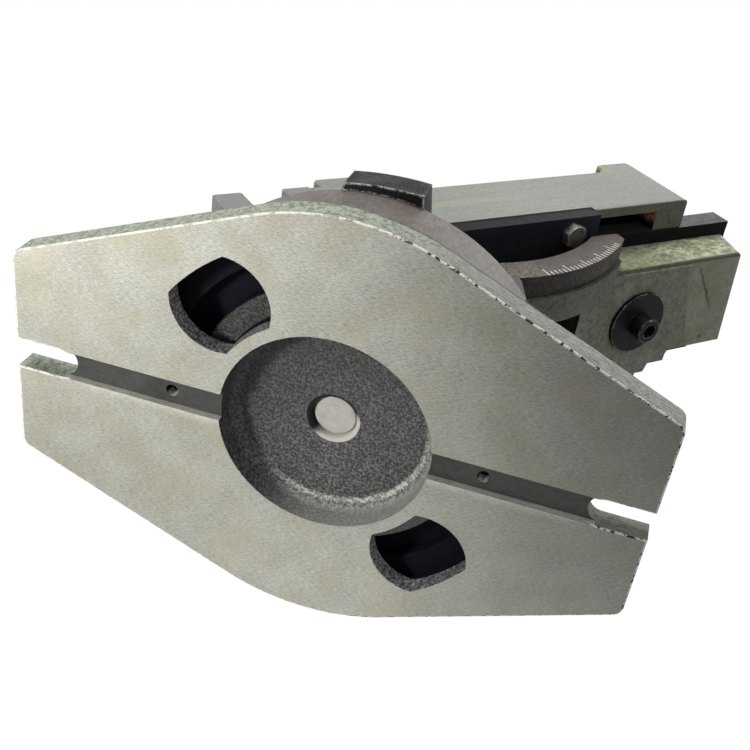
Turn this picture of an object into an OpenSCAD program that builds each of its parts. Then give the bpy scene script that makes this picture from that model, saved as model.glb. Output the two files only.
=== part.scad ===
// Tilting machine vise: a swivel base, a rocker cradle and a vise body with a long slide.
// World frame: X along the base plate, Z up, origin in the middle of the base's underside.
// Vise frame: X along the guideways, Z up from the bed's underside, origin under the tilt axis.

/* [Base plate] */
// Length of the base plate
base_l = 303.5; // [280:1:360]
// Width of the base plate at its two ends
base_end_w = 106.6; // [80:1:130]
// Radius of the round middle of the base plate
base_r = 107.5; // [107:0.5:120]
// Height of the base plate at its edge
base_edge_h = 13; // [12:0.5:19]
// Height of the raised round seat
base_h = 22; // [20:0.5:30]
// Radius of the corners at the ends
base_corner_r = 6; // [3:0.5:10]
// Width of the key slot
key_w = 14; // [12:0.5:18]
// Depth of the key slot
key_d = 3.3; // [2:0.1:5]
// Radius of the round recess underneath
recess_r = 50.5; // [44:0.5:51]
// Depth of the round recess
recess_d = 15.5; // [10:0.5:17]
// Distance between the two tapped key holes
key_hole_spacing = 150; // [140:1:160]
// Diameter of the tapped key holes
key_hole_d = 6; // [5:0.5:8]
// Width of the open hold-down slots
slot_w = 15; // [13:0.5:18]
// Length of the open hold-down slots
slot_l = 29; // [24:0.5:34]

/* [Swivel ring slot] */
// Diameter of the circle on which the clamp bolts travel
tslot_pcd = 150; // [148:0.5:152]
// Width of the ring slot's mouth
tslot_mouth_w = 13; // [12.5:0.5:15]
// Width of the ring slot's undercut
tslot_under_w = 37; // [34:0.5:38]
// Height of the ring slot's floor
tslot_floor_h = 9; // [6:0.5:9]
// Height of the ring slot's undercut
tslot_under_h = 5.5; // [5:0.25:6.5]
// Radius of the two pockets that let the bolt heads in
pocket_r = 23.5; // [20:0.5:25]
// Angle of the first pocket, seen from above
pocket_angle = 45; // [30:1:60]

/* [Swivel table] */
// Radius of the round table
table_r = 96.7; // [95:0.1:100]
// Thickness of the table's floor between the shoulders
table_t = 16; // [12:0.5:18]
// Height of the table's two shoulders above the base's underside
shoulder_z = 56.5; // [50:0.5:58]
// Inner edge of the shoulders
shoulder_y = 64.5; // [63.5:0.5:65]
// How far the clamp lugs reach out from the middle
lug_y = 101.2; // [99:0.1:103]
// Left edge of the clamp lugs
lug_x0 = -19; // [-22:0.5:-16]
// Right edge of the clamp lugs
lug_x1 = 17.7; // [16:0.1:22]
// Height of the clamp lugs above the shoulders
lug_h = 15.5; // [12:0.5:18]
// Diameter of the pivot pin
pivot_d = 22; // [18:0.5:26]
// How far the pivot pin stays above the recess ceiling's lower face
pivot_recess = 3; // [1:0.5:5]

/* [Cradle] */
// Height of the tilt axis above the base's underside
axis_h = 184; // [182:0.5:196]
// Thickness of each cradle cheek
cheek_t = 10.4; // [8:0.2:12]
// Angle of the cradle's right end from the vertical
cheek_a1 = 35; // [28:1:36]
// Angle of the cradle's left end from the vertical
cheek_a0 = 16; // [8:1:16]
// Depth of the cradle's right end, measured along the radius
cheek_end = 4.5; // [2:0.5:8]

/* [Tilt] */
// Tilt of the vise body
tilt = 45; // [0:1:45]
// Height of the tilt axis above the bed's underside
bed_drop = 89.6; // [89:0.1:92]
// Outer radius of the rocker
rocker_r = 110.4; // [108:0.1:112]
// Radial width of the rocker's flange
flange_w = 16; // [12:0.5:18]
// Half width over the rocker's flanges
flange_y1 = 55; // [54:0.5:56]
// Inner edge of the machined band
flange_y0 = 43; // [42:0.5:44]
// Half length of the rocker
rocker_half = 70; // [60:0.5:71]
// Height of the rocker's ends above the bed's underside
rocker_top = 11; // [8:0.5:13]
// Inner edge of the rocker's rough walls
rough_y0 = 27; // [22:0.5:30]
// How far the rough walls stand proud of the machined band
rough_proud = 2; // [0.5:0.25:2.5]

/* [Bed] */
// Right end of the guideways
rail_x1 = 175; // [165:1:190]
// Left end of the bed
bed_x0 = -164; // [-168:1:-155]
// Half width over the guideways
rail_y = 45.2; // [44.5:0.1:45.2]
// Underside of the guideways
rail_z0 = 25; // [24:0.5:26]
// Top of the guideways
rail_z1 = 38.4; // [37:0.1:40]
// Half width of the bed under the guideways
web_y = 37; // [34:0.5:38]
// Right end of the bed at the guideways
web_x1 = 173; // [160:1:174]
// How far the right end of the bed draws in towards the bottom
web_draw = 8; // [0:0.5:10]
// Rear edge of the bed's underside at its right end
web_rear = 24; // [20:0.5:30]
// Rear edge of the raised pad
pad_rear = 31; // [30:0.5:34]
// Left end of the raised pad's narrow part
pad_x0 = 114; // [100:1:118]
// Right end of the raised pad
pad_x1 = 127; // [120:1:135]
// Thickness of the bed's bottom
bottom_t = 16; // [12:0.5:18]
// Half width of the trough between the guideways
trough_y = 15; // [14:0.5:17]
// Half length of the opening under the rocker
rocker_open_half = 55; // [48:1:56]
// Height of the raised pad on the bed's underside
pad_h = 1.2; // [0.5:0.1:2]

/* [Jaws] */
// Jaw width
jaw_w = 125; // [122:1:126]
// Height of the jaw plates
jaw_h = 45; // [40:0.5:46]
// Thickness of the jaw plates
jaw_t = 16; // [13:0.5:17]
// Jaw opening
jaw_gap = 22; // [18:0.5:30]
// Face of the fixed jaw
jaw_face_x = -120.4; // [-122:0.1:-118]
// Top of the jaw plates above the bed's underside
jaw_top = 86.1; // [84:0.1:88]
// Half width of the fixed jaw's raised block
jaw_block_y = 46; // [40:0.5:50]
// How far the fixed jaw's shoulders lie below the top of the jaw plates
jaw_shoulder = 15; // [10:0.5:20]
// Fall of those shoulders towards the sides
jaw_fall = 12; // [6:0.5:16]
// Depth of the tapped holes behind the jaw plates
jaw_hole_depth = 22; // [20:0.5:26]

/* [Slide] */
// Top of the slide
slide_top = 72.8; // [71:0.1:76]
// Right end of the slide
slide_x1 = 135.5; // [130:0.5:140]
// Lower edge of the slide's outer walls
skirt_z0 = 26.2; // [26:0.1:28]
// Thickness of the slide's outer walls beside the window
skirt_t = 5.5; // [4.5:0.25:7]
// Left end of the slide's skirts
skirt_x0 = -50; // [-52:1:-44]
// Length of the end wall
end_wall = 22.5; // [20:0.5:24]
// Top of the raised end wall
lug_top = 82.4; // [80:0.1:86]
// Length of the raised end wall's top
lug_l = 27; // [24:0.5:30]
// Top of the moving jaw's casting
head_top = 94.2; // [90:0.1:96]
// Length of the moving jaw's casting
head_l = 50; // [44:1:56]
// Ledge between the jaw plate and the raised casting
head_ledge = 6.5; // [3:0.5:12]
// Length of the slope behind the moving jaw
head_slope = 14; // [8:0.5:20]
// Half width of the slide's inner channel
channel_y = 24; // [21:0.5:26]
// Top of the slide's inner channel
channel_z1 = 67; // [66.5:0.1:68]
// Top of the cavities beside the channel
window_z1 = 57; // [50:0.5:60]
// Radius of the two core plugs
plug_r = 6; // [4:0.5:7]

/* [Keeper plates] */
// Left end of the keeper plates
keeper_x0 = -50; // [-50:1:-40]
// Right end of the keeper plates
keeper_x1 = 65; // [55:1:70]
// Underside of the keeper plates
keeper_z0 = 20.6; // [20:0.1:21]
// Seat of the keeper plates on the slide
keeper_seat = 30.2; // [29:0.1:32]
// Inner edge of the keeper plates
keeper_y0 = 38.5; // [38:0.1:40]
// Position of the right keeper bolts
keeper_bolt_x1 = 46.5; // [40:0.5:50]
// Position of the left keeper bolts
keeper_bolt_x0 = -29.5; // [-34:0.5:-20]
// Distance of the keeper bolts from the middle
keeper_bolt_y = 52.8; // [52:0.1:54]

/* [Leadscrew] */
// Diameter of the leadscrew
screw_d = 20; // [18:0.5:20]
// Height of the leadscrew above the bed's underside
screw_z = 52.4; // [52.4:0.1:53]
// Left end of the leadscrew
screw_x0 = -34; // [-36:1:-30]
// Diameter of the leadscrew's journal
journal_d = 16; // [14:0.5:16]
// Wall of the bearing bush
bush_t = 3; // [2:0.25:4]
// Size of the square drive end
drive_w = 12; // [10:0.5:13]
// Length of the square drive end
drive_l = 22; // [16:1:26]
// Diameter of the thrust flange on the leadscrew
thrust_d = 26; // [22:0.5:26]
// Thickness of the thrust flange on the leadscrew
thrust_t = 5; // [4:0.25:6]
// Thickness of the thrust washers
thrust_washer_t = 2; // [1.5:0.25:2.5]
// Thickness of the collar outside the end wall
collar_t = 12; // [10:0.5:14]
// Diameter of the collar's pin
collar_pin_d = 5; // [3:0.5:6]
// Top of the leadscrew nut
nut_top = 66.4; // [65:0.1:66.4]
// Left face of the leadscrew nut
nut_x0 = 46; // [44:0.5:50]
// Right face of the leadscrew nut
nut_x1 = 82; // [78:0.5:83]
// Half width of the leadscrew nut
nut_y = 17; // [16:0.5:18]
// Left end of the nut's foot
nut_foot_x0 = 60; // [58:1:66]
// Right end of the nut's foot
nut_foot_x1 = 116; // [110:1:120]
// Position of the screw under the bed
nut_screw_x = 91.5; // [88:0.5:96]
// Distance of that screw from the middle, towards the front
nut_screw_y = 2.6; // [0:0.2:4]
// Diameter of the washer under the bed
nut_washer_d = 38.5; // [34:0.5:42]
// Thickness of the washer under the bed
nut_washer_t = 2.5; // [2:0.25:4]

/* [Fasteners] */
// Width of the swivel clamp bolts' heads, along the ring slot
tbolt_head_l = 22; // [18:0.5:24]
// Length of the swivel clamp bolts' heads, across the ring slot
tbolt_head_w = 32; // [28:0.5:32]
// How far the swivel clamp bolts stand above the lugs
tbolt_over = 17; // [15:0.5:22]
// Thread diameter of the swivel clamp bolts
tbolt_d = 12; // [10:1:12]
// Thread diameter of the tilt clamp bolts
clamp_bolt_d = 10; // [8:1:10]
// Thread diameter of the keeper bolts
keeper_bolt_d = 8; // [6:1:8]
// Thread diameter of the jaw plate screws
jaw_screw_d = 10; // [8:1:10]
// Thread diameter of the nut's screw
nut_screw_d = 10; // [8:1:12]
// Distance of the jaw plate screws from the middle
jaw_screw_y = 36; // [30:1:42]

/* [Hidden] */
$fn = 96;

// Clearances: gap between moving castings, radial fit of a shaft, fit of a fixed pin
gap = 0.3;
fit = 0.05;
press = 0.02;
// Overrun that makes a cut pass through a face
cut = 1;

table_z1 = base_h + table_t;
lug_z1 = shoulder_z + lug_h;
tslot_r = tslot_pcd / 2;
pocket_z1 = tslot_floor_h + tslot_under_h;
pocket_cut_z = tslot_floor_h + tslot_under_h / 2;
// Half the pockets' radial width, a little less than the undercut's
pocket_half = tslot_under_w / 2 - 0.4;
flange_ri = rocker_r - flange_w;
cradle_r = rocker_r + gap;
cheek_y0 = rail_y + 0.4;
cheek_y1 = cheek_y0 + cheek_t;
jaw_z0 = jaw_top - jaw_h;
moving_face_x = jaw_face_x + jaw_gap;
head_x0 = moving_face_x + jaw_t;
end_wall_x0 = slide_x1 - end_wall;
thrust_x0 = end_wall_x0 - thrust_washer_t - thrust_t;
collar_x0 = slide_x1 + thrust_washer_t;
// Tilt clamps: angles of both ends and of the bolt, bolt circle, thickness, toe length
clamp_a0 = 12;
clamp_a1 = 22;
clamp_bolt_a = 17;
// How far the clamps' bolts lie outside the rocker, their edge outside the bolts, their toe inside
clamp_bolt_out = 9;
clamp_edge = 10;
clamp_toe_in = 11;
clamp_bolt_r = rocker_r + clamp_bolt_out;
clamp_r1 = clamp_bolt_r + clamp_edge;
clamp_t = 9;
clamp_toe = 6;
clamp_toe_r = rocker_r - clamp_toe_in;
// How far the clamps' bolts stop short of the cheek's inner face, and the room around their washers
clamp_bolt_short = 1;
clamp_room = 0.5;
// How far the keeper bolts' hexagons are turned
keeper_bolt_turn = 18;
// Clearance under the fixed jaw's heel at full tilt
heel_gap = 3;
// Curved front of the lugs: radius and middle; taper of their ends
lug_arc_r = 150;
lug_arc_x = 9;
lug_taper = 0.14;
// Skew and lean of the bed's right end
web_skew = 5.5;
web_lean = 17;
// Reach of cuts that pass the whole bed
far = 130;
// Places of the core plugs, from the slide's end and side; their depth and how far they stand out
plug_x = 6.5;
plug_y = 9;
plug_depth = 6;
plug_out = 0.4;
// How deep the jaw plate screws' heads lie, and how far the screws reach into the castings
jaw_head_depth = jaw_screw_d + 1;
jaw_screw_in = 18;
// Length of the keeper bolts and depth of their tapped holes
keeper_bolt_l = 26;
keeper_hole_depth = 28;
// Depth of the tapped hole in the nut's foot
nut_hole_depth = 20;
// How far the screw under the bed reaches into the nut's foot
nut_screw_in = 18;
// Wall around the ring slot, and with it the outer radius of the raised round seat
seat_wall = 9.5;
seat_r = tslot_r + tslot_under_w / 2 + seat_wall;
// Length of the raised pad, the bevel of its front corner and the draw of its rear corner
pad_l = 80;
pad_bevel = 2.5;
pad_draw = 2;
// Margin between the raised pad and the bed's rear edge
pad_margin = 0.5;
// Chamfer on both ends of the nuts
hex_cut = 0.5;

// Sizes of standard fasteners from the thread diameter
function hex_af(d) = d <= 6 ? 10 : d <= 8 ? 12 : d <= 10 ? 16 : d <= 12 ? 18 : 21;
function hex_h(d) = 0.6 * d;
function nut_h(d) = 0.85 * d;
function washer_d(d) = 2 * d;
function washer_t(d) = d <= 8 ? 1.6 : 2.5;
function cap_d(d) = 1.5 * d;
function cap_key(d) = d <= 6 ? 5 : d <= 8 ? 6 : d <= 10 ? 8 : 10;

// A point on a circle about the tilt axis, by its angle from straight down
function below(r, a) = [r * sin(a), axis_h - r * cos(a)];

// Shared shapes

// Cylinder along Z with chamfered edges
module chamfered(r, h, c0 = 0, c1 = 0) {
    rotate_extrude()
        polygon([[0, 0], [r - c0, 0], [r, c0], [r, h - c1], [r - c1, h], [0, h]]);
}

// Hexagon head or nut body, its across-flats size given, with rounded-off corners
module hex_body(af, h, c0, c1) {
    intersection() {
        cylinder(d = af / cos(30), h = h, $fn = 6);
        chamfered(af / cos(30) / 2, h, c0, c1);
    }
}

// Hex bolt: head below Z 0, shank above it
module hex_bolt(d, l) {
    translate([0, 0, -hex_h(d)]) hex_body(hex_af(d), hex_h(d), 1, 0);
    chamfered(d / 2, l, 0, 1);
}

// Socket head screw: head below Z 0, shank above it
module cap_screw(d, l) {
    difference() {
        translate([0, 0, -d]) chamfered(cap_d(d) / 2, d, 0.6, 0);
        translate([0, 0, -d - cut])
            cylinder(d = cap_key(d) / cos(30), h = d * 0.55 + cut, $fn = 6);
    }
    chamfered(d / 2, l, 0, 1);
}

module washer(d, od, t) {
    difference() {
        chamfered(od / 2, t, 0.3, 0.3);
        translate([0, 0, -cut]) cylinder(r = d / 2 + 0.25, h = t + 2 * cut);
    }
}

// Child and its mirror image across the XZ plane
module both_sides() {
    children();
    mirror([0, 1, 0]) children();
}

// The vise frame's place in the world
module tilted() {
    translate([0, 0, axis_h]) rotate([0, -tilt, 0]) translate([0, 0, -bed_drop]) children();
}

// Puts a shape made along Z so that it points along +X
module along_x(x, y, z) {
    translate([x, y, z]) rotate([0, 90, 0]) children();
}

// Puts a shape made along Z so that it points along +Y
module along_y(x, y, z) {
    translate([x, y, z]) rotate([-90, 0, 0]) children();
}

// Side profile in X and Z, extruded between two Y values
module side(y0, y1) {
    translate([0, y1, 0]) rotate([90, 0, 0]) linear_extrude(y1 - y0) children();
}

// End profile in Y and Z, extruded between two X values
module end(x0, x1) {
    translate([x0, 0, 0]) rotate([90, 0, 90]) linear_extrude(x1 - x0) children();
}

// Base plate

// Outline: round middle, straight tangents, rounded end corners
module base_outline() {
    l = base_l / 2;
    w = base_end_w / 2;
    a = atan2(w, l) + acos(base_r / sqrt(l * l + w * w));
    cx = l - base_corner_r;
    cy = (base_r - base_corner_r - cx * cos(a)) / sin(a);
    sx = cx + base_corner_r * cos(a);
    sy = cy + base_corner_r * sin(a);
    tx = base_r * cos(a);
    ty = base_r * sin(a);
    circle(r = base_r);
    polygon([
        [l, cy], [sx, sy], [tx, ty], [-tx, ty], [-sx, sy], [-l, cy],
        [-l, -cy], [-sx, -sy], [-tx, -ty], [tx, -ty], [sx, -sy], [l, -cy]
    ]);
    for (mx = [-1, 1], my = [-1, 1])
        translate([mx * cx, my * cy]) circle(r = base_corner_r);
}

module ring(r0, r1, z0, z1) {
    rotate_extrude() polygon([[r0, z0], [r1, z0], [r1, z1], [r0, z1]]);
}

module hold_down_slots() {
    for (m = [0, 1]) mirror([m, 0, 0])
        translate([base_l / 2 - slot_l + slot_w / 2, 0, -cut]) {
            cylinder(d = slot_w, h = base_h + 2 * cut);
            translate([0, -slot_w / 2, 0]) cube([slot_l, slot_w, base_h + 2 * cut]);
        }
}

module bolt_pockets() {
    intersection() {
        for (a = [pocket_angle, pocket_angle + 180])
            rotate(a) translate([tslot_r, 0, -cut]) cylinder(r = pocket_r, h = pocket_cut_z + cut);
        ring(tslot_r - pocket_half, tslot_r + pocket_half, -2 * cut, base_h);
    }
}

module base_plate() {
    color("#a3aa9b") difference() {
        union() {
            linear_extrude(base_edge_h) base_outline();
            translate([0, 0, base_edge_h - cut]) cylinder(r = seat_r, h = base_h - base_edge_h + cut);
        }
        translate([0, 0, -cut]) cylinder(r = recess_r, h = recess_d + cut);
        translate([0, 0, recess_d - cut]) cylinder(r = pivot_d / 2 + fit, h = base_h);
        for (sx = [-1, 1]) translate([sx > 0 ? 0 : -base_l / 2, -key_w / 2, -cut])
            cube([base_l / 2, key_w, key_d + cut]);
        for (sx = [-1, 1]) translate([sx * key_hole_spacing / 2, 0, 0])
            cylinder(d = key_hole_d, h = tslot_floor_h + cut);
        hold_down_slots();
        ring(tslot_r - tslot_under_w / 2, tslot_r + tslot_under_w / 2, tslot_floor_h, pocket_z1);
        ring(tslot_r - tslot_mouth_w / 2, tslot_r + tslot_mouth_w / 2, pocket_z1 - cut, base_h + cut);
        bolt_pockets();
    }
}

// Swivel table with the cradle

module pivot_pin() {
    color("#8d8a84") translate([0, 0, recess_d + pivot_recess])
        chamfered(pivot_d / 2, table_z1 - recess_d - pivot_recess - press, 1.2, 0.5);
}

module cheek_profile() {
    p0 = below(cradle_r, -cheek_a0);
    p1 = below(cradle_r, cheek_a1);
    q1 = below(cradle_r + cheek_end, cheek_a1);
    difference() {
        polygon([
            [p0[0] - 10, table_z1 - cut], p0, p1, q1,
            [q1[0] + 10, shoulder_z], [q1[0] + 10, table_z1 - cut]
        ]);
        translate([0, axis_h]) circle(r = cradle_r, $fn = 360);
    }
}

// Shoulder: segment of the turned table beside the vise body
module shoulder() {
    intersection() {
        translate([0, 0, base_h + 1]) chamfered(table_r, shoulder_z - base_h - 1, 0, 0.6);
        translate([-table_r, shoulder_y, base_h + 1])
            cube([2 * table_r, table_r, shoulder_z - base_h]);
    }
}

// Lug: rough block that overhangs the shoulder, with tapered ends and a curved front
module lug() {
    dy = lug_y - shoulder_y;
    intersection() {
        translate([0, 0, shoulder_z - cut]) linear_extrude(lug_h + cut) polygon([
            [lug_x0, lug_y], [lug_x1, lug_y], [lug_x1 + lug_taper * dy, shoulder_y],
            [lug_x0 - lug_taper * dy, shoulder_y]
        ]);
        translate([lug_arc_x, lug_y - lug_arc_r, 0]) cylinder(r = lug_arc_r, h = lug_z1 + cut, $fn = 360);
    }
}

module swivel_table() {
    color("#6f6b66") difference() {
        union() {
            translate([0, 0, base_h]) chamfered(table_r, table_t, 0.6, 0.6);
            both_sides() {
                side(cheek_y0, cheek_y1) cheek_profile();
                shoulder();
                lug();
            }
        }
        translate([0, 0, base_h - cut]) cylinder(r = pivot_d / 2 + press, h = table_t + cut);
        for (sy = [-1, 1]) translate([0, sy * tslot_r, base_h - cut])
            cylinder(r = tbolt_d / 2 + 0.5, h = lug_z1 - base_h + 2 * cut);
        both_sides() clamp_hole(clamp_bolt_d / 2 + fit, cheek_y0 - cut, cheek_t + 2 * cut);
        both_sides() clamp_clearance();
    }
}

// T bolts: rectangular heads in the ring slot, nuts on the lugs
module t_bolts() {
    color("#5b5a58") for (sy = [-1, 1]) translate([0, sy * tslot_r, 0]) {
        translate([-tbolt_head_l / 2, -tbolt_head_w / 2, tslot_floor_h + 0.5])
            cube([tbolt_head_l, tbolt_head_w, tslot_under_h - 0.5]);
        translate([0, 0, pocket_z1 - cut])
            chamfered(tbolt_d / 2, lug_z1 + tbolt_over - pocket_z1 + cut, 0, 1);
    }
}

module t_bolt_washers() {
    color("#77756f") for (sy = [-1, 1]) translate([0, sy * tslot_r, lug_z1])
        washer(tbolt_d, washer_d(tbolt_d), washer_t(tbolt_d));
}

module hex_nut(d) {
    difference() {
        hex_body(hex_af(d), nut_h(d), hex_cut, hex_cut);
        translate([0, 0, -cut]) cylinder(r = d / 2 + fit, h = nut_h(d) + 2 * cut);
    }
}

module t_bolt_nuts() {
    color("#5b5a58") for (sy = [-1, 1])
        translate([0, sy * tslot_r, lug_z1 + washer_t(tbolt_d)]) hex_nut(tbolt_d);
}

// Tilt clamps: plates that press the rocker's flange against the cradle

module clamp_hole(r, y0, l) {
    p = below(clamp_bolt_r, clamp_bolt_a);
    along_y(p[0], y0, p[1]) cylinder(r = r, h = l);
}

module clamp_profile(r0, r1) {
    intersection() {
        difference() {
            translate([0, axis_h]) circle(r = r1, $fn = 180);
            translate([0, axis_h]) circle(r = r0, $fn = 180);
        }
        polygon([[0, axis_h], below(axis_h, clamp_a0), below(axis_h, clamp_a1)]);
    }
}

// Room over the shoulders for the clamps, their washers and bolts, out to the table's edge
module clamp_clearance() {
    clamp_hole(washer_d(clamp_bolt_d) / 2 + clamp_room, shoulder_y - cut, table_r);
    side(shoulder_y - cut, cheek_y1 + clamp_t + gap) clamp_profile(cradle_r, clamp_r1 + gap);
}

module tilt_clamps() {
    color("#2c2d30") both_sides() difference() {
        union() {
            side(cheek_y1, cheek_y1 + clamp_t) clamp_profile(clamp_toe_r, clamp_r1);
            side(flange_y1 + gap, cheek_y1 + cut)
                clamp_profile(clamp_toe_r, clamp_toe_r + clamp_toe);
        }
        clamp_hole(clamp_bolt_d / 2 + 0.4, cheek_y1 - cut, clamp_t + 2 * cut);
    }
}

module tilt_clamp_washers() {
    p = below(clamp_bolt_r, clamp_bolt_a);
    color("#77756f") both_sides() along_y(p[0], cheek_y1 + clamp_t, p[1])
        washer(clamp_bolt_d, washer_d(clamp_bolt_d), washer_t(clamp_bolt_d));
}

module tilt_clamp_bolts() {
    p = below(clamp_bolt_r, clamp_bolt_a);
    y = cheek_y1 + clamp_t + washer_t(clamp_bolt_d);
    color("#4a4a4a") both_sides() translate([p[0], y, p[1]]) rotate([90, 0, 0])
        hex_bolt(clamp_bolt_d, y - cheek_y0 - clamp_bolt_short);
}

// Bed with guideways, fixed jaw and rocker, in the vise frame

// The 45 degree cut that lets the fixed jaw's end come down to the table
module heel_cut() {
    k = bed_drop - (axis_h - table_z1 - heel_gap) / cos(45);
    side(-jaw_w, jaw_w)
        polygon([[k + far, -far], [k - far, far], [k - 2 * far, far], [k - 2 * far, -far]]);
}

module fixed_jaw_body() {
    z1 = jaw_top - 1;
    z2 = jaw_top - jaw_shoulder;
    z3 = z2 - jaw_fall;
    end(bed_x0, jaw_face_x - jaw_t) polygon([
        [-jaw_w / 2, rail_z1], [jaw_w / 2, rail_z1], [jaw_w / 2, z3],
        [jaw_block_y, z2], [jaw_block_y, z1], [-jaw_block_y, z1], [-jaw_block_y, z2],
        [-jaw_w / 2, z3]
    ]);
}

module rocker_ring(r0, r1, y0, y1) {
    side(y0, y1) intersection() {
        translate([0, bed_drop]) difference() {
            circle(r = r1, $fn = 360);
            if (r0 > 0) circle(r = r0, $fn = 360);
        }
        translate([-rocker_half, bed_drop - r1 - cut])
            square([2 * rocker_half, rocker_top - bed_drop + r1 + cut]);
    }
}

module rocker() {
    both_sides() {
        rocker_ring(flange_ri, rocker_r, flange_y0, flange_y1);
        rocker_ring(flange_ri, rocker_r + rough_proud, web_y - cut, flange_y0);
        rocker_ring(0, rocker_r + rough_proud, rough_y0, web_y);
    }
}

// Plan of the bed under the guideways: its rear edge steps in towards the right end
module bed_plan(x1) {
    polygon([
        [bed_x0, -web_y], [x1, -web_y], [x1, web_rear], [pad_x1 + 1, web_rear], [pad_x1 - 2, pad_rear],
        [pad_x0, pad_rear], [pad_x0 - 2, web_y], [bed_x0, web_y]
    ]);
}

module bed_section() {
    end(bed_x0, rail_x1) translate([-rail_y, rail_z0]) square([2 * rail_y, rail_z1 - rail_z0]);
    difference() {
        linear_extrude(rail_z0 + cut) bed_plan(web_x1);
        translate([web_x1 - web_draw, -web_y, 0]) rotate([0, 0, -web_skew])
            rotate([0, web_lean, 0])
            translate([0, -web_y, -rail_z1]) cube([web_y, 4 * web_y, 3 * rail_z1]);
    }
    translate([pad_x1 - pad_l, 0, -pad_h]) linear_extrude(pad_h + cut)
        polygon([
            [0, -web_y + pad_bevel], [pad_l - pad_draw / 2, -web_y + pad_bevel],
            [pad_l, -web_y + 2 * pad_bevel], [pad_l - pad_draw, pad_rear - pad_margin],
            [pad_x0 - pad_x1 + pad_l, pad_rear - pad_margin], [0, pad_rear - pad_margin]
        ]);
}

module bed() {
    color("#8c947f") tilted() difference() {
        union() {
            bed_section();
            fixed_jaw_body();
            rocker();
        }
        heel_cut();
        translate([jaw_face_x + 8, -trough_y, bottom_t])
            cube([rail_x1 - 12 - jaw_face_x - 8, 2 * trough_y, rail_z1]);
        translate([-rocker_open_half, -rough_y0 + 5, -cut])
            cube([2 * rocker_open_half, 2 * (rough_y0 - 5), bottom_t + 4 + cut]);
        translate([nut_screw_x, -nut_screw_y, -pad_h - cut])
            cylinder(r = nut_screw_d / 2 + 0.5, h = bottom_t + pad_h + 2 * cut);
        jaw_screw_holes(jaw_face_x - jaw_t - jaw_hole_depth, jaw_hole_depth + cut,
            jaw_screw_d / 2 + fit);
    }
}

// Jaw plates and their screws

module jaw_screw_holes(x, l, r) {
    for (sy = [-1, 1]) along_x(x, sy * jaw_screw_y, jaw_z0 + jaw_h / 2) cylinder(r = r, h = l);
}

// Jaw plate from X 0 to its thickness; its screw heads sink into the side at X 0
module jaw_plate() {
    difference() {
        side(-jaw_w / 2, jaw_w / 2) polygon([
            [0, jaw_z0 + 0.2], [jaw_t, jaw_z0 + 0.2], [jaw_t, jaw_top - 1], [jaw_t - 1, jaw_top],
            [1, jaw_top], [0, jaw_top - 1]
        ]);
        jaw_screw_holes(-cut, jaw_t + 2 * cut, jaw_screw_d / 2 + 0.5);
        jaw_screw_holes(-cut, jaw_head_depth + cut, cap_d(jaw_screw_d) / 2 + 0.5);
    }
}

module jaw_screws() {
    for (sy = [-1, 1]) along_x(jaw_head_depth, sy * jaw_screw_y, jaw_z0 + jaw_h / 2)
        cap_screw(jaw_screw_d, jaw_t - jaw_head_depth + jaw_screw_in);
}

module fixed_jaw_plate() {
    color("#5c5a56") tilted() translate([jaw_face_x, 0, 0]) mirror([1, 0, 0]) jaw_plate();
}

module fixed_jaw_screws() {
    color("#3a3a3c") tilted() translate([jaw_face_x, 0, 0]) mirror([1, 0, 0]) jaw_screws();
}

module moving_jaw_plate() {
    color("#5c5a56") tilted() translate([moving_face_x, 0, 0]) jaw_plate();
}

module moving_jaw_screws() {
    color("#3a3a3c") tilted() translate([moving_face_x, 0, 0]) jaw_screws();
}

// Slide: the moving jaw's long casting

module slide_profile() {
    seat = rail_z1 + 0.02;
    polygon([
        [head_x0, seat], [skirt_x0, seat], [skirt_x0, keeper_seat], [keeper_x1, keeper_seat],
        [keeper_x1, skirt_z0], [slide_x1, skirt_z0], [slide_x1, lug_top - 1.5],
        [slide_x1 - 1.5, lug_top], [slide_x1 - lug_l + 3, lug_top],
        [slide_x1 - lug_l, lug_top - 3], [slide_x1 - lug_l, slide_top + 3],
        [slide_x1 - lug_l - 3, slide_top], [head_x0 + head_l + head_slope, slide_top],
        [head_x0 + head_l, head_top - 4], [head_x0 + head_l - 4, head_top],
        [head_x0 + head_ledge + 1, head_top], [head_x0 + head_ledge, head_top - 1],
        [head_x0 + head_ledge, jaw_top - 0.8], [head_x0, jaw_top - 0.8]
    ]);
}

module keeper_bolt_places() {
    for (x = [keeper_bolt_x0, keeper_bolt_x1], sy = [-1, 1])
        translate([x, sy * keeper_bolt_y, keeper_z0]) children();
}

module core_plug_places() {
    for (sy = [-1, 1])
        translate([slide_x1 - plug_x, sy * (jaw_w / 2 - plug_y), skirt_z0]) children();
}

module slide() {
    color("#9fa699") tilted() difference() {
        side(-jaw_w / 2, jaw_w / 2) slide_profile();
        translate([skirt_x0 - cut, -rail_y - 0.1, 0])
            cube([slide_x1 - skirt_x0 + 2 * cut, 2 * (rail_y + 0.1), rail_z1 + 0.02]);
        translate([screw_x0 - 4, -channel_y, 0])
            cube([end_wall_x0 - screw_x0 + 4, 2 * channel_y, channel_z1]);
        both_sides() translate([keeper_x1 + gap, rail_y - cut, 0])
            cube([end_wall_x0 - keeper_x1 - gap, jaw_w / 2 - skirt_t - rail_y + cut, window_z1]);
        along_x(end_wall_x0 - cut, 0, screw_z)
            cylinder(r = journal_d / 2 + bush_t + press, h = end_wall + 2 * cut);
        jaw_screw_holes(head_x0 - cut, jaw_hole_depth + cut, jaw_screw_d / 2 + fit);
        keeper_bolt_places() cylinder(r = keeper_bolt_d / 2 + fit, h = keeper_hole_depth);
        core_plug_places() translate([0, 0, -cut])
            cylinder(r = plug_r + press, h = plug_depth + cut);
    }
}

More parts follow.
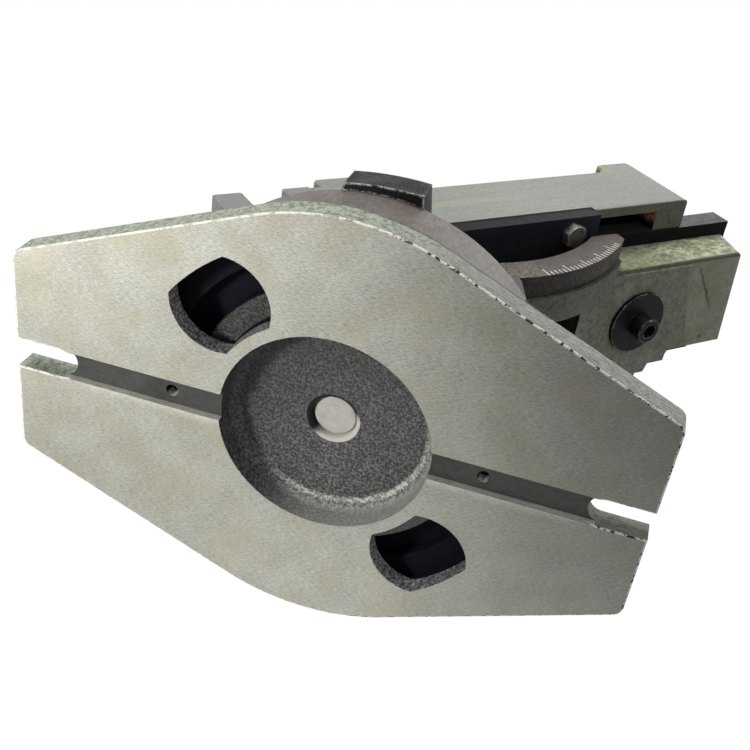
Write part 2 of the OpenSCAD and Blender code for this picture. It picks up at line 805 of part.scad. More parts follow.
module core_plugs() {
    color("#70776c") tilted() core_plug_places() translate([0, 0, -plug_out])
        chamfered(plug_r, plug_depth + plug_out, plug_out, 0);
}

// Keeper plates and their bolts

module keeper_section() {
    polygon([
        [keeper_y0, keeper_z0], [jaw_w / 2 - 0.3, keeper_z0], [jaw_w / 2 - 0.3, keeper_seat],
        [rail_y + 0.3, keeper_seat], [rail_y + 0.3, rail_z0 - gap], [keeper_y0, rail_z0 - gap]
    ]);
}

module keeper() {
    difference() {
        end(keeper_x0, keeper_x1) keeper_section();
        for (x = [keeper_bolt_x0, keeper_bolt_x1])
            translate([x, keeper_bolt_y, keeper_z0 - cut])
                cylinder(r = keeper_bolt_d / 2 + 0.4, h = keeper_seat);
    }
}

module keeper_front() {
    color("#26282e") tilted() mirror([0, 1, 0]) keeper();
}

module keeper_rear() {
    color("#26282e") tilted() keeper();
}

module keeper_bolts() {
    color("#6d6a66") tilted() keeper_bolt_places() rotate(keeper_bolt_turn)
        hex_bolt(keeper_bolt_d, keeper_bolt_l);
}

// Leadscrew, its bearing and its nut

module bearing_bush() {
    color("#b98d4f") tilted() along_x(end_wall_x0, 0, screw_z) difference() {
        cylinder(r = journal_d / 2 + bush_t, h = end_wall);
        translate([0, 0, -cut]) cylinder(r = journal_d / 2 + fit, h = end_wall + 2 * cut);
    }
}

module leadscrew() {
    journal_x1 = collar_x0 + collar_t;
    color("#6a6864") tilted() difference() {
        along_x(0, 0, screw_z) {
            translate([0, 0, screw_x0]) chamfered(screw_d / 2, thrust_x0 - screw_x0 + cut, 2, 0);
            translate([0, 0, thrust_x0]) chamfered(thrust_d / 2, thrust_t, 0.5, 0.5);
            translate([0, 0, thrust_x0 + thrust_t - 0.01])
                cylinder(d = journal_d, h = journal_x1 - thrust_x0 - thrust_t);
            intersection() {
                translate([-drive_w / 2, -drive_w / 2, journal_x1 - cut])
                    cube([drive_w, drive_w, drive_l + cut]);
                translate([0, 0, journal_x1 - cut])
                    chamfered(journal_d / 2, drive_l + cut, 0, 1.5);
            }
        }
        collar_pin_hole(collar_pin_d / 2 + press);
    }
}

module thrust_washers() {
    color("#b98d4f") tilted() for (x = [end_wall_x0 - thrust_washer_t, slide_x1])
        along_x(x, 0, screw_z) washer(journal_d, thrust_d, thrust_washer_t);
}

module collar_pin_hole(r) {
    translate([collar_x0 + collar_t / 2, 0, screw_z - thrust_d])
        cylinder(r = r, h = 2 * thrust_d);
}

module screw_collar() {
    color("#55534f") tilted() difference() {
        along_x(collar_x0, 0, screw_z) difference() {
            chamfered(thrust_d / 2, collar_t, 0.5, 1);
            translate([0, 0, -cut]) cylinder(r = journal_d / 2 + press, h = collar_t + 2 * cut);
        }
        collar_pin_hole(collar_pin_d / 2 + press);
    }
}

module collar_pin() {
    color("#8a8883") tilted() translate([collar_x0 + collar_t / 2, 0, screw_z - thrust_d / 2 + 0.2])
        chamfered(collar_pin_d / 2, thrust_d - 0.4, 0.4, 0.4);
}

module leadscrew_nut() {
    color("#8b7a55") tilted() difference() {
        union() {
            side(-nut_y, nut_y) polygon([
                [nut_x0, rail_z1], [nut_x1, rail_z1], [nut_x1, nut_top - 2],
                [nut_x1 - 2, nut_top], [nut_x0 + 2, nut_top], [nut_x0, nut_top - 2]
            ]);
            translate([nut_foot_x0, -trough_y + 0.1, bottom_t])
                cube([nut_foot_x1 - nut_foot_x0, 2 * (trough_y - 0.1), rail_z1 - 1 - bottom_t]);
            translate([nut_foot_x0, -trough_y + 0.1, rail_z1 - 2])
                cube([nut_x1 - nut_foot_x0, 2 * (trough_y - 0.1), 3]);
        }
        along_x(nut_x0 - cut, 0, screw_z)
            cylinder(r = screw_d / 2 + fit, h = nut_x1 - nut_x0 + 2 * cut);
        translate([nut_screw_x, -nut_screw_y, bottom_t - cut])
            cylinder(r = nut_screw_d / 2 + fit, h = nut_hole_depth + cut);
    }
}

module nut_washer() {
    color("#1d1e22") tilted() translate([nut_screw_x, -nut_screw_y, -pad_h - nut_washer_t])
        washer(nut_screw_d, nut_washer_d, nut_washer_t);
}

module nut_screw() {
    color("#2a2a2e") tilted() translate([nut_screw_x, -nut_screw_y, -pad_h - nut_washer_t])
        cap_screw(nut_screw_d, bottom_t + pad_h + nut_washer_t + nut_screw_in);
}

base_plate();
pivot_pin();
swivel_table();
t_bolts();
t_bolt_washers();
t_bolt_nuts();
tilt_clamps();
tilt_clamp_bolts();
tilt_clamp_washers();
bed();
fixed_jaw_plate();
fixed_jaw_screws();
slide();
moving_jaw_plate();
moving_jaw_screws();
keeper_front();
keeper_rear();
keeper_bolts();
core_plugs();
bearing_bush();
leadscrew();
thrust_washers();
screw_collar();
collar_pin();
leadscrew_nut();
nut_washer();
nut_screw();
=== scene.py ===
"""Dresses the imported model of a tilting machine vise: rounded castings, finishes, studio and camera."""

import functools
import math

import bmesh
import bpy
from bpy.props import FloatProperty, FloatVectorProperty, IntProperty, PointerProperty
from mathutils import Matrix, Vector


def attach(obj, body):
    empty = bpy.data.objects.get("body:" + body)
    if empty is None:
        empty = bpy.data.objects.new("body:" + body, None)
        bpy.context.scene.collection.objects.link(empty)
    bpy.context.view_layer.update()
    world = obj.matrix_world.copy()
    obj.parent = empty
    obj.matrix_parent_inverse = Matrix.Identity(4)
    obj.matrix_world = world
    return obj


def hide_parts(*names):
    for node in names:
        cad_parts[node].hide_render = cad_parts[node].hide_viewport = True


bl_info = {
    "name": "Tilting machine vise",
    "version": (1, 0, 0),
    "blender": (4, 5, 0),
    "location": "3D View > Sidebar > Vise",
    "description": "Rounds the castings of a tilting machine vise and gives each piece its finish",
    "category": "Object",
}

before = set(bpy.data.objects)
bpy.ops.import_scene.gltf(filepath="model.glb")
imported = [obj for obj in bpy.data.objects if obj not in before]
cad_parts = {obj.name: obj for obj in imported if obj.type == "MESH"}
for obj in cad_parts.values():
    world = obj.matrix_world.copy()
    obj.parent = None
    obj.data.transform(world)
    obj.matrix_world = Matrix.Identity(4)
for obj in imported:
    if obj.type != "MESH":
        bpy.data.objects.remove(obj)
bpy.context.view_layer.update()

MM = 0.001
HALF = math.sqrt(0.5)

# Limits of places on the base plate and the table, in millimetres from the middle of the underside
KEY_HALF, KEY_DEPTH = 7.0, 3.3
KEY_HOLE_X, KEY_HOLE_EDGE = 75.0, 3.4
RECESS_R, RECESS_DEPTH = 50.5, 15.5
RING_OUT, RING_FLOOR = 94.5, 9.3
EDGE_H, BASE_H, SHOULDER_Z = 13.0, 22.0, 56.5

# Height of the tilt axis over the base, and of the axis over the bed's underside
AXIS_H, BED_DROP = 184.0, 89.6
# Places in the tilted vise frame: rocker, guideways, fixed jaw, and the inside of the slide
ROCKER_R, FLANGE_Y = 110.4, 54.5
RAIL_Z0, RAIL_Z1, RAIL_X0 = 24.9, 38.6, -136
SLIDE_X1, SLIDE_IN_X1, SLIDE_IN_Z1 = 135.5, 113.2, 68

# Roundings in metres that belong to one kind of edge
FINE_EDGE, OUTLINE_EDGE, RIM_EDGE, PIN_CHAMFER = 0.0004, 0.0009, 0.0008, 0.0012
BED_FRONT_EDGE, BED_INNER_EDGE, SLIDE_END_EDGE = 0.0018, 0.0007, 0.0024
SHARP_FROM, SMOOTH_TO = math.radians(28), math.radians(32)

# The scale on the rocker: steps and ends in degrees, lengths in millimetres
FINE_STEP, FINE_LENGTH, LONG_STEP, LONG_LENGTH = 1.5, 3.6, 7.5, 6.4
SCALE_START, SCALE_END = 44.5, 80.5

# The camera's focal length and picture centre in pixels, and the picture's width
FOCAL, CENTRE_X, CENTRE_Y, PICTURE = 1074.084, 419.397, 395.513, 750


def tone(red, green, blue):
    """A display colour, 0 to 255, as the linear colour that a shader takes."""
    linear = []
    for value in (red, green, blue):
        v = value / 255
        linear.append(v / 12.92 if v <= 0.04045 else ((v + 0.055) / 1.055) ** 2.4)
    return tuple(linear)


def darker(rgb, factor):
    return tuple(v * factor for v in rgb)


def colour(name, description, default):
    """A colour that the user may change."""
    return FloatVectorProperty(
        name=name, description=description, subtype="COLOR", size=3, min=0, max=1, default=tone(*default)
    )


def length(name, description, default, low=0.0, high=0.05):
    """A length in metres that the user may change."""
    return FloatProperty(
        name=name, description=description, subtype="DISTANCE", unit="LENGTH", min=low, max=high,
        default=default, precision=5,
    )


def power(name, description, default):
    """A lamp's power in watts that the user may change."""
    return FloatProperty(name=name, description=description, unit="POWER", min=0, max=200, default=default)


class ViseColours(bpy.types.PropertyGroup):
    """Colours of the finishes."""

    ground: colour("Ground iron", "Underside of the base plate", (170, 170, 161))
    ground_stain: colour("Ground stain", "Olive blotches on the ground underside", (160, 154, 118))
    ground_blush: colour("Ground blush", "Faint rusty blotches on the ground underside", (184, 168, 152))
    rough: colour("Rough iron", "Cast recess and bolt pockets", (80, 80, 80))
    side_paint: colour("Base paint", "Painted side of the base plate", (156, 162, 146))
    side_dark: colour("Base paint, dark", "Specks and worn places of the base plate's side", (84, 90, 82))
    rim: colour("Turned rim", "Turned side of the swivel table", (104, 99, 94))
    black: colour("Black paint", "Clamp lugs of the swivel table", (30, 30, 32))
    chip: colour("Chip", "Bright chips on worn edges, and the marks of the scale", (232, 230, 222))
    bed_paint: colour("Bed paint", "Painted bed", (120, 122, 110))
    bed_light: colour("Bed paint, light", "Light side of the bed", (184, 186, 158))
    bed_stain: colour("Bed stain", "Olive smudges on the bed", (92, 94, 62))
    slide_paint: colour("Slide paint", "Painted slide", (126, 129, 121))
    machined: colour("Machined iron", "Guideways and rocker", (71, 65, 62))
    primer: colour("Primer", "Bare primer inside the slide's window", (196, 84, 58))
    keeper: colour("Keeper steel", "Underside of the keeper plates", (24, 26, 33))
    jaw: colour("Jaw steel", "Ground jaw plates", (120, 120, 118))
    steel: colour("Bolt steel", "Bolts and nuts", (128, 126, 122))
    bronze: colour("Bronze", "Bush, washers and nut of the leadscrew", (176, 138, 84))


class ViseSizes(bpy.types.PropertyGroup):
    """Sizes of the finish."""

    edge: length("Edge radius", "Rounding of machined edges", 0.0006, 0.0001, 0.002)
    cast_edge: length("Casting edge radius", "Rounding of cast edges", 0.0014, 0.0002, 0.004)
    recess_fillet: length("Recess fillet", "Rounding between the recess's floor and wall", 0.006, 0.001, 0.01)
    grain: length("Cast grain", "Size of the grains on rough castings", 0.0011, 0.0003, 0.004)
    streak: length("Grinding mark", "Length of the grinding marks", 0.006, 0.001, 0.03)
    tick: length("Scale mark", "Width of the marks of the tilt scale", 0.00045, 0.0001, 0.001)
    segments: IntProperty(name="Edge segments", description="Segments of a rounded edge", min=1, max=5, default=2)


class ViseStudio(bpy.types.PropertyGroup):
    """Floor and lamps."""

    key: power("Key lamp", "Power of the lamp under the left end", 9.5)
    front: power("Front lamp", "Power of the front lamp", 15)
    fill: power("Fill lamp", "Power of the fill lamp", 3)
    top: power("Top lamp", "Power of the top lamp", 22)
    world: FloatProperty(name="Ambient", description="Strength of the ambient light", min=0, max=2, default=0.22)
    floor: colour("Floor", "Colour of the floor", (244, 244, 243))
    floor_size: length("Floor size", "Side of the floor", 12.0, 1.0, 40.0)


class Finish:
    """One material, world or node group under construction, with short names for its most used nodes."""

    def __init__(self, tree):
        self.tree = tree
        self.column = 0

    def add(self, kind, inputs=None, **settings):
        node = self.tree.nodes.new("ShaderNode" + kind)
        node.location = (self.column * 180, 0)
        self.column += 1
        for name, value in settings.items():
            setattr(node, name, value)
        for key, value in (inputs or {}).items():
            self.put(node.inputs[key], value)
        return node

    def put(self, socket, value):
        if isinstance(value, bpy.types.NodeSocket):
            self.tree.links.new(value, socket)
        elif hasattr(socket.default_value, "__len__") and len(socket.default_value) == 4:
            socket.default_value = (*value[:3], 1.0)
        else:
            socket.default_value = value

    def math(self, operation, a, b=0.0, clamp=False):
        return self.add("Math", {0: a, 1: b}, operation=operation, use_clamp=clamp).outputs[0]

    def plus(self, a, b):
        return self.math("ADD", a, b)

    def minus(self, a, b):
        return self.math("SUBTRACT", a, b)

    def mul(self, a, b, *more):
        """The product of all the values."""
        product = self.math("MULTIPLY", a, b)
        return self.mul(product, *more) if more else product

    def max(self, a, b):
        return self.math("MAXIMUM", a, b)

    def abs(self, a):
        return self.math("ABSOLUTE", a)

    def diagonal(self, a, b):
        """How far two coordinates together lead away from their origin."""
        return self.math("SQRT", self.plus(self.mul(a, a), self.mul(b, b)))

    def ramp(self, value, low, high, start=0.0, end=1.0):
        """Value's smooth rise from start at low to end at high."""
        inputs = {0: value, 1: low, 2: high, 3: start, 4: end}
        return self.add("MapRange", inputs, interpolation_type="SMOOTHSTEP").outputs[0]

    def mix(self, factor, a, b):
        return self.add("Mix", {0: factor, 6: a, 7: b}, data_type="RGBA").outputs[2]

    def shades(self, factor, base, low, high):
        """A mix of two shades of one colour."""
        return self.mix(factor, darker(base, low), darker(base, high))

    def noise(self, vector, size, detail=3.0, rough=0.55):
        """Soft noise whose grains are about size millimetres wide."""
        inputs = {"Vector": vector, "Scale": 1 / size, "Detail": detail, "Roughness": rough}
        return self.add("TexNoise", inputs).outputs[0]

    def ragged(self, value, vector, size, amount, detail=3.0, rough=0.55):
        """A value made uneven by noise, up to an amount, so that an edge set by it is ragged."""
        return self.plus(value, self.mul(self.noise(vector, size, detail, rough), amount))

    def mottled(self, body, vector, size, low, high, detail=5.0, rough=0.8):
        """A colour made uneven, from low to high times its brightness."""
        return self.times(body, self.ramp(self.noise(vector, size, detail, rough), 0.38, 0.62, low, high))

    def stretched(self, vector, x, y, z):
        """The vector in millimetres divided by three sizes, for patterns that run along one axis."""
        return self.add("Mapping", {"Vector": vector, "Scale": (1 / x, 1 / y, 1 / z)}).outputs[0]

    def times(self, vector, level):
        """A colour or vector multiplied by a number."""
        return self.add("VectorMath", {0: vector, "Scale": level}, operation="SCALE").outputs[0]

    def shrunk(self, vector, size):
        """A vector divided by a size."""
        return self.times(vector, self.math("DIVIDE", 1.0, size))

    def split(self, vector):
        return self.add("SeparateXYZ", {0: vector}).outputs

    def group(self, tree, **inputs):
        node = self.add("Group", node_tree=tree)
        for key, value in inputs.items():
            self.put(node.inputs[key.replace("_", " ")], value)
        return node.outputs

    def grain(self, vector, size):
        return self.group(cast_grain_group(), Vector=vector, Size=size)

    def grinding(self, vector):
        return self.group(grinding_group(), Vector=vector)

    def blotches(self, vector, size, amount):
        return self.group(blotches_group(), Vector=vector, Size=size, Amount=amount)

    def wear_and_highlight(self, vector, radius, chip_size):
        return self.group(wear_group(), Vector=vector, Radius=radius, Chip_size=chip_size)[0]


def new_group(name, sizes, outputs):
    """An empty node group that takes a vector and named sizes and gives named values, and its sockets."""
    tree = bpy.data.node_groups.new(name, "ShaderNodeTree")
    for socket in ("Vector", *sizes, *outputs):
        kind = "NodeSocketVector" if socket == "Vector" else "NodeSocketFloat"
        side = "OUTPUT" if socket in outputs else "INPUT"
        made = tree.interface.new_socket(name=socket, in_out=side, socket_type=kind)
        if socket in sizes:
            made.default_value = sizes[socket]
    source, target = tree.nodes.new("NodeGroupInput"), tree.nodes.new("NodeGroupOutput")
    source.location.x, target.location.x = -400, -200
    return Finish(tree), source.outputs, target.inputs


@functools.cache
def cast_grain_group():
    """Grainy skin of a sand casting: its height, bright facets that are painted as glints, and slow changes of tone.
    """
    f, given, out = new_group("Cast grain", {"Size": 1.1}, ("Height", "Facets", "Tone"))
    scaled = f.shrunk(given["Vector"], given["Size"])
    lumps = f.add("TexVoronoi", {"Vector": scaled, "Scale": 0.8}, feature="SMOOTH_F1").outputs[0]
    grit = f.noise(scaled, 0.8, 4.0, 0.7)
    f.put(out["Height"], f.plus(f.mul(lumps, -0.7), f.mul(grit, 1.3)))
    f.put(out["Facets"], f.ramp(f.noise(scaled, 0.62, 2.0, 0.6), 0.56, 0.7))
    f.put(out["Tone"], f.noise(scaled, 9.0, 2.0))
    return f.tree


@functools.cache
def grinding_group():
    """Fine marks of a grinding wheel, given a vector already stretched along the marks."""
    f, given, out = new_group("Grinding marks", {}, ("Tone", "Height"))
    coarse = f.noise(given["Vector"], 1.0, 3.0, 0.65)
    fine = f.noise(given["Vector"], 0.35, 2.0, 0.6)
    both = f.plus(f.mul(coarse, 0.6), f.mul(fine, 0.4))
    f.put(out["Tone"], f.ramp(both, 0.3, 0.7))
    f.put(out["Height"], both)
    return f.tree


@functools.cache
def blotches_group():
    """Wide blotches with ragged edges, for stains and oil."""
    f, given, out = new_group("Blotches", {"Size": 30.0, "Amount": 0.5}, ("Mask", "Tone"))
    scaled = f.shrunk(given["Vector"], given["Size"])
    wide = f.noise(scaled, 1.0, 5.0, 0.6)
    edge = f.minus(0.78, f.mul(given["Amount"], 0.5))
    f.put(out["Mask"], f.math("MULTIPLY", f.minus(wide, edge), 7.0, clamp=True))
    f.put(out["Tone"], f.noise(scaled, 2.3, 3.0))
    return f.tree


@functools.cache
def wear_group():
    """Outer edges, for worn chips and painted edge highlights: where the surface bends within a radius, broken up by
    noise.
    """
    f, given, out = new_group("Edge wear", {"Radius": 0.001, "Chip size": 2.0}, ("Mask",))
    bevel = f.add("Bevel", {"Radius": given["Radius"]}, samples=4).outputs[0]
    flat = f.add("NewGeometry").outputs["Normal"]
    bend = f.add("VectorMath", {0: bevel, 1: flat}, operation="DOT_PRODUCT").outputs["Value"]
    scaled = f.shrunk(given["Vector"], given["Chip size"])
    chips = f.ramp(f.noise(scaled, 1.0, 4.0, 0.7), 0.4, 0.6)
    f.put(out["Mask"], f.mul(f.ramp(bend, 0.995, 0.93), chips))
    return f.tree


def empty_tree(owner):
    """The builder of a material's or world's nodes, with none in it yet."""
    owner.use_nodes = True
    owner.node_tree.nodes.clear()
    return Finish(owner.node_tree)


def start_material(name):
    """A new material, its shader, and the place on the piece in millimetres."""
    material = bpy.data.materials.new(name)
    f = empty_tree(material)
    f.material = material
    f.shader = f.add("BsdfPrincipled")
    f.add("OutputMaterial", {"Surface": f.shader.outputs[0]})
    f.place = f.times(f.add("TexCoord").outputs["Object"], 1000.0)
    return f


def in_vise_frame(f):
    """The place turned into the tilted vise frame: X along the guideways, Z up from the bed's underside."""
    turn = f.add("Mapping", {"Vector": f.place, "Rotation": (0, math.radians(45), 0)}).outputs[0]
    shift = (-AXIS_H * HALF, 0, BED_DROP - AXIS_H * HALF)
    return f.add("VectorMath", {0: turn, 1: shift}, operation="ADD").outputs[0]


def set_shader(f, body, roughness, metallic, specular, height=None, depth=0.2, strength=1.0):
    """Feeds the shader: constants go on its own sockets, patterns are linked. Depth is in millimetres."""
    f.put(f.shader.inputs["Base Color"], body)
    f.put(f.shader.inputs["Roughness"], roughness)
    f.shader.inputs["Metallic"].default_value = metallic
    f.shader.inputs["Specular IOR Level"].default_value = specular
    if height is not None:
        bump = f.add("Bump", {"Height": height, "Strength": strength, "Distance": depth * MM})
        f.put(f.shader.inputs["Normal"], bump.outputs[0])
    return f.material


def ground_material(
    name, base, stain, sizes, along=(1, 0, 0), metallic=0.15, roughness=0.5, contrast=0.16, specular=0.2, mottle=0.08
):
    """Ground or turned iron: grinding marks along one axis, slow blotches and a few stains."""
    f = start_material(name)
    mark = sizes.streak / MM
    marks = f.grinding(f.stretched(f.place, *[mark if a else mark / 7 for a in along]))
    spots = f.blotches(f.place, 34.0, 0.55)
    light = f.shades(f.ramp(spots["Tone"], 0.38, 0.62), base, 1 - contrast, 1 + contrast * 0.6)
    both = f.mix(0.6, light, f.shades(marks["Tone"], base, 1 - contrast, 1 + contrast))
    stained = f.mix(f.mul(spots["Mask"], 0.35), both, stain)
    stained = f.mottled(stained, f.place, 3.5, 1 - mottle, 1 + mottle)
    rough = f.ramp(marks["Tone"], 0.0, 1.0, roughness + 0.06, roughness - 0.06)
    return set_shader(f, stained, rough, metallic, specular, marks["Height"], 0.03, 0.5)


def underside_material(colours, sizes):
    """Ground underside: short fibre-like marks along the plate, and faint olive and rusty blotches."""
    f = start_material("ground underside")
    x, y, _ = f.split(f.place)
    mark = sizes.streak / MM
    fibres = f.noise(f.stretched(f.place, mark / 2.4, mark / 12, 5.0), 1.0, 2.0, 0.6)
    fine = f.noise(f.stretched(f.place, 1.0, 0.42, 1.0), 1.0, 2.0, 0.7)
    marks = f.plus(f.mul(fibres, 0.6), f.mul(fine, 0.4))
    olive = f.blotches(f.place, 30.0, 0.62)
    rusty = f.blotches(f.stretched(f.place, 1.4, 0.8, 1.0), 19.0, 0.45)
    base = colours.ground
    body = f.shades(f.ramp(marks, 0.41, 0.59), base, 0.68, 1.28)
    cloud = f.ramp(f.noise(f.place, 24.0, 3.0, 0.6), 0.35, 0.65)
    body = f.mix(0.35, body, f.shades(cloud, base, 0.8, 1.16))
    body = f.mix(f.mul(olive["Mask"], 0.3), body, colours.ground_stain)
    # Both ends are the most discoloured; towards the right end the face is darkened by painted shade, where the key
    # lamp's light falls off
    end = f.ramp(f.abs(x), 70.0, 150.0, 0.12, 0.5)
    body = f.mix(f.mul(rusty["Mask"], end), body, colours.ground_blush)
    body = f.mix(f.ramp(x, 20.0, 130.0, 0.0, 0.3), body, darker(base, 0.45))
    # Painted light: the face is painted brighter at the lower right and the upper left and darker between, as the
    # lamps' light falls on it
    painted_light_bowl = f.plus(f.mul(x, y, 3.0e-5), f.mul(y, y, 1.9e-5))
    body = f.times(body, f.plus(painted_light_bowl, f.plus(f.mul(y, 8.0e-4), 1.07)))
    # The key slot's lower edge is worn bright
    reach = f.ragged(y, f.stretched(f.place, 6.0, 2.0, 2.0), 1.0, 7.0, 4.0, 0.75)
    beside = f.mul(f.ramp(reach, 15.5, 10.5), f.ramp(y, 5.0, 6.5))
    beside = f.mul(beside, f.ramp(f.abs(x), 128.0, 112.0, 0.0, 0.5))
    body = f.mix(beside, body, f.times(tone(226, 225, 214), f.ramp(fine, 0.35, 0.65, 0.7, 1.1)))
    rough = f.ramp(marks, 0.3, 0.7, 0.56, 0.46)
    return set_shader(f, body, rough, 0.05, 0.15, marks, 0.05, 0.8)


def rough_material(name, base, facets, size, roughness, rim=False):
    """Rough cast iron: irregular light and dark grains, bright facets painted as glints, and in the recess painted
    light and shade.
    """
    f = start_material(name)
    grain = f.grain(f.place, size)
    grit = f.ramp(f.noise(f.place, size * 1.3, 4.0, 0.8), 0.42, 0.62)
    slow = f.shades(f.ramp(grain["Tone"], 0.3, 0.7), base, 0.85, 1.15)
    body = f.times(slow, f.ramp(grit, 0.0, 1.0, 0.22, 2.1))
    # Bright facets: glossier grains, painted brighter as painted glints
    body = f.mix(f.mul(grain["Facets"], facets), body, darker(base, 4.0))
    if rim:
        # Painted light in the recess: its wall and fillet are painted bright where they face the key lamp, with a
        # painted glint along the fillet, and painted shade darkens the far side
        x, y, _ = f.split(f.place)
        lit = f.plus(f.mul(x, 0.6), f.mul(y, 0.8))
        side = f.ramp(lit, 5.0, 45.0)
        away = f.diagonal(x, y)
        wall = f.ramp(f.plus(away, f.mul(grit, 1.5)), RECESS_R - 3.0, RECESS_R)
        # Painted light: the wall facing the lamp is painted light grey
        worn = f.times(tone(150, 150, 146), f.ramp(grit, 0.0, 1.0, 0.75, 1.15))
        body = f.mix(f.mul(side, wall), body, worn)
        # Painted highlight: a glint along the fillet, on the lit side
        fillet = f.ramp(f.abs(f.minus(away, RECESS_R - 4.2)), 2.2, 0.4)
        body = f.mix(f.mul(side, fillet, f.ramp(grit, 0.2, 0.6, 0.3, 1.0)), body, tone(206, 205, 198))
        # Painted shade: darker on the side away from the key lamp
        body = f.times(body, f.ramp(lit, -45.0, 25.0, 0.5, 1.1))
    shiny = f.minus(roughness + 0.05, f.mul(grain["Facets"], 0.2))
    return set_shader(f, body, shiny, 0.0, 0.4, grain["Height"], 0.5)


def paint_material(name, base, dark, size, contrast, depth, specular=0.3, wear_and_highlight=None, vise=False, stain=None):
    """Worn matt paint on a casting: speckles, slow changes of tone, and chips on the edges."""
    f = start_material(name)
    place = in_vise_frame(f) if vise else f.place
    grain = f.grain(place, size)
    spots = f.blotches(place, 26.0, 0.6)
    specks = f.ramp(f.noise(place, size * 0.9, 3.0, 0.65), 0.42, 0.68)
    painted = f.mix(f.mul(specks, contrast), base, dark)
    body = f.mix(0.45, painted, f.shades(f.ramp(spots["Tone"], 0.3, 0.7), base, 0.84, 1.08))
    if stain is not None:
        body = f.mix(f.mul(spots["Mask"], 0.55), body, stain)
    if wear_and_highlight is not None:
        # Most chips are along the lugs' lower edges
        _, _, z = f.split(f.place)
        body = f.mix(f.mul(f.wear_and_highlight(place, 0.0016, 2.4), f.ramp(z, 62.0, 58.0, 0.25, 1.0)), body, wear_and_highlight)
    rough = f.ramp(grain["Tone"], 0.3, 0.7, 0.55, 0.75)
    return set_shader(f, body, rough, 0.0, specular, grain["Height"], depth, 0.8)


def shade_black_material(name, base, specular=0.05, contrast=0.3):
    """Nearly black iron inside slots and under plates: painted shade, where little light reaches."""
    f = start_material(name)
    body = f.shades(f.noise(f.place, 6.0), base, 1 - contrast, 1 + contrast)
    return set_shader(f, body, 0.6, 0.0, specular, f.noise(f.place, 0.8), 0.05, 0.5)


def bore_material(name, along_x, low, high):
    """Wall of a bore: painted light on the side that faces the lamp, painted shade on the other."""
    f = start_material(name)
    x, y, _ = f.split(f.place)
    across = f.plus(f.mul(x, along_x), f.mul(y, 0.8))
    bright = f.ramp(f.plus(across, f.noise(f.place, 2.0)), low, high)
    # Painted light and shade: near white on the side towards the lamp, near black on the other
    return set_shader(f, f.mix(bright, tone(22, 22, 24), tone(196, 194, 188)), 0.5, 0.0, 0.15)


def base_side_material(colours):
    """Painted side of the base plate: speckled paint, a bright chipped line along the lower edge."""
    f = start_material("base side paint")
    x, _, z = f.split(f.place)
    grain = f.grain(f.place, 1.5)
    specks = f.ramp(f.noise(f.place, 2.4, 5.0, 0.8), 0.44, 0.6)
    paint = f.mix(f.mul(specks, 0.85), colours.side_paint, colours.side_dark)
    # Towards the right the paint is worn to a fibrous grey
    fibres = f.noise(f.stretched(f.place, 5.0, 5.0, 0.8), 1.0, 4.0, 0.7)
    worn_grey = f.mix(f.ramp(fibres, 0.35, 0.65), tone(82, 84, 80), tone(146, 148, 140))
    right = f.ramp(f.ragged(x, f.place, 14.0, 40.0), 30.0, 75.0)
    body = f.mix(f.mul(right, 0.75), paint, worn_grey)
    # Chips along the lower edge, dark ones more often to the right
    low = f.ramp(f.minus(z, f.mul(f.noise(f.place, 2.4, 4.0, 0.7), 2.0)), -0.2, -0.5)
    dark = f.ramp(f.noise(f.place, 3.5, 3.0, 0.7), 0.5, 0.56)
    edge = f.mix(f.mul(dark, f.ramp(x, -30.0, 40.0, 0.35, 1.0)), colours.chip, tone(30, 32, 28))
    full = f.mix(low, body, edge)
    # Painted shadow: a dark line along the top edge, to the right, where the table shades the gap above it
    gap_shadow = f.ramp(f.ragged(z, f.place, 3.0, 1.0), EDGE_H - 1.4, EDGE_H - 0.8)
    arc = f.mul(f.ramp(x, -5.0, 15.0), f.ramp(x, 100.0, 80.0, 0.0, 0.9))
    full = f.mix(f.mul(gap_shadow, arc), full, tone(24, 24, 22))
    return set_shader(f, full, 0.62, 0.0, 0.3, grain["Height"], 0.2, 0.9)


def ring_material(colours, sizes):
    """Flat side of the rocker: machined iron with a scale of fine and long marks along its outer edge."""
    f = start_material("rocker scale")
    x, _, z = f.split(f.place)
    drop = f.minus(AXIS_H, z)
    radius_here = f.diagonal(x, drop)
    angle = f.mul(f.math("ARCTAN2", x, drop), 180 / math.pi)
    width = sizes.tick / MM / 2

    def marks(step, reach):
        turns = f.math("DIVIDE", angle, step)
        off = f.abs(f.minus(f.math("FRACT", f.plus(turns, 0.5)), 0.5))
        line = f.ramp(f.mul(off, step * math.pi / 180, radius_here), width + 0.12, width - 0.08)
        return f.mul(line, f.ramp(radius_here, ROCKER_R - reach - 0.15, ROCKER_R - reach + 0.15))

    ticks = f.max(marks(FINE_STEP, FINE_LENGTH), marks(LONG_STEP, LONG_LENGTH))
    ticks = f.mul(ticks, f.ramp(angle, SCALE_START - 0.1, SCALE_START + 0.1))
    ticks = f.mul(ticks, f.ramp(angle, SCALE_END + 0.1, SCALE_END - 0.1))
    ticks = f.mul(ticks, f.ramp(f.noise(f.place, 5.0), 0.3, 0.55, 0.35, 1.0))
    grain = f.grinding(f.stretched(f.place, 5.0, 5.0, 1.4))
    spots = f.blotches(f.place, 14.0, 0.7)
    iron = f.shades(grain["Tone"], colours.machined, 0.86, 1.16)
    iron = f.mix(f.mul(spots["Mask"], 0.4), iron, tone(88, 78, 70))
    iron = f.mottled(iron, f.place, 3.0, 0.8, 1.2)
    # The end next to the table is rough and greenish
    rough_end = f.ramp(f.ragged(angle, f.place, 4.0, 8.0), 51.0, 46.0)
    greenish = f.mix(f.ramp(f.noise(f.place, 1.3, 4.0, 0.7), 0.35, 0.65), tone(34, 34, 28), tone(116, 114, 98))
    iron = f.mix(f.mul(rough_end, 0.7), iron, greenish)
    height = f.minus(f.mul(grain["Height"], 0.15), ticks)
    return set_shader(f, f.mix(ticks, iron, colours.chip), 0.5, 0.1, 0.15, height, 0.12, 0.7)


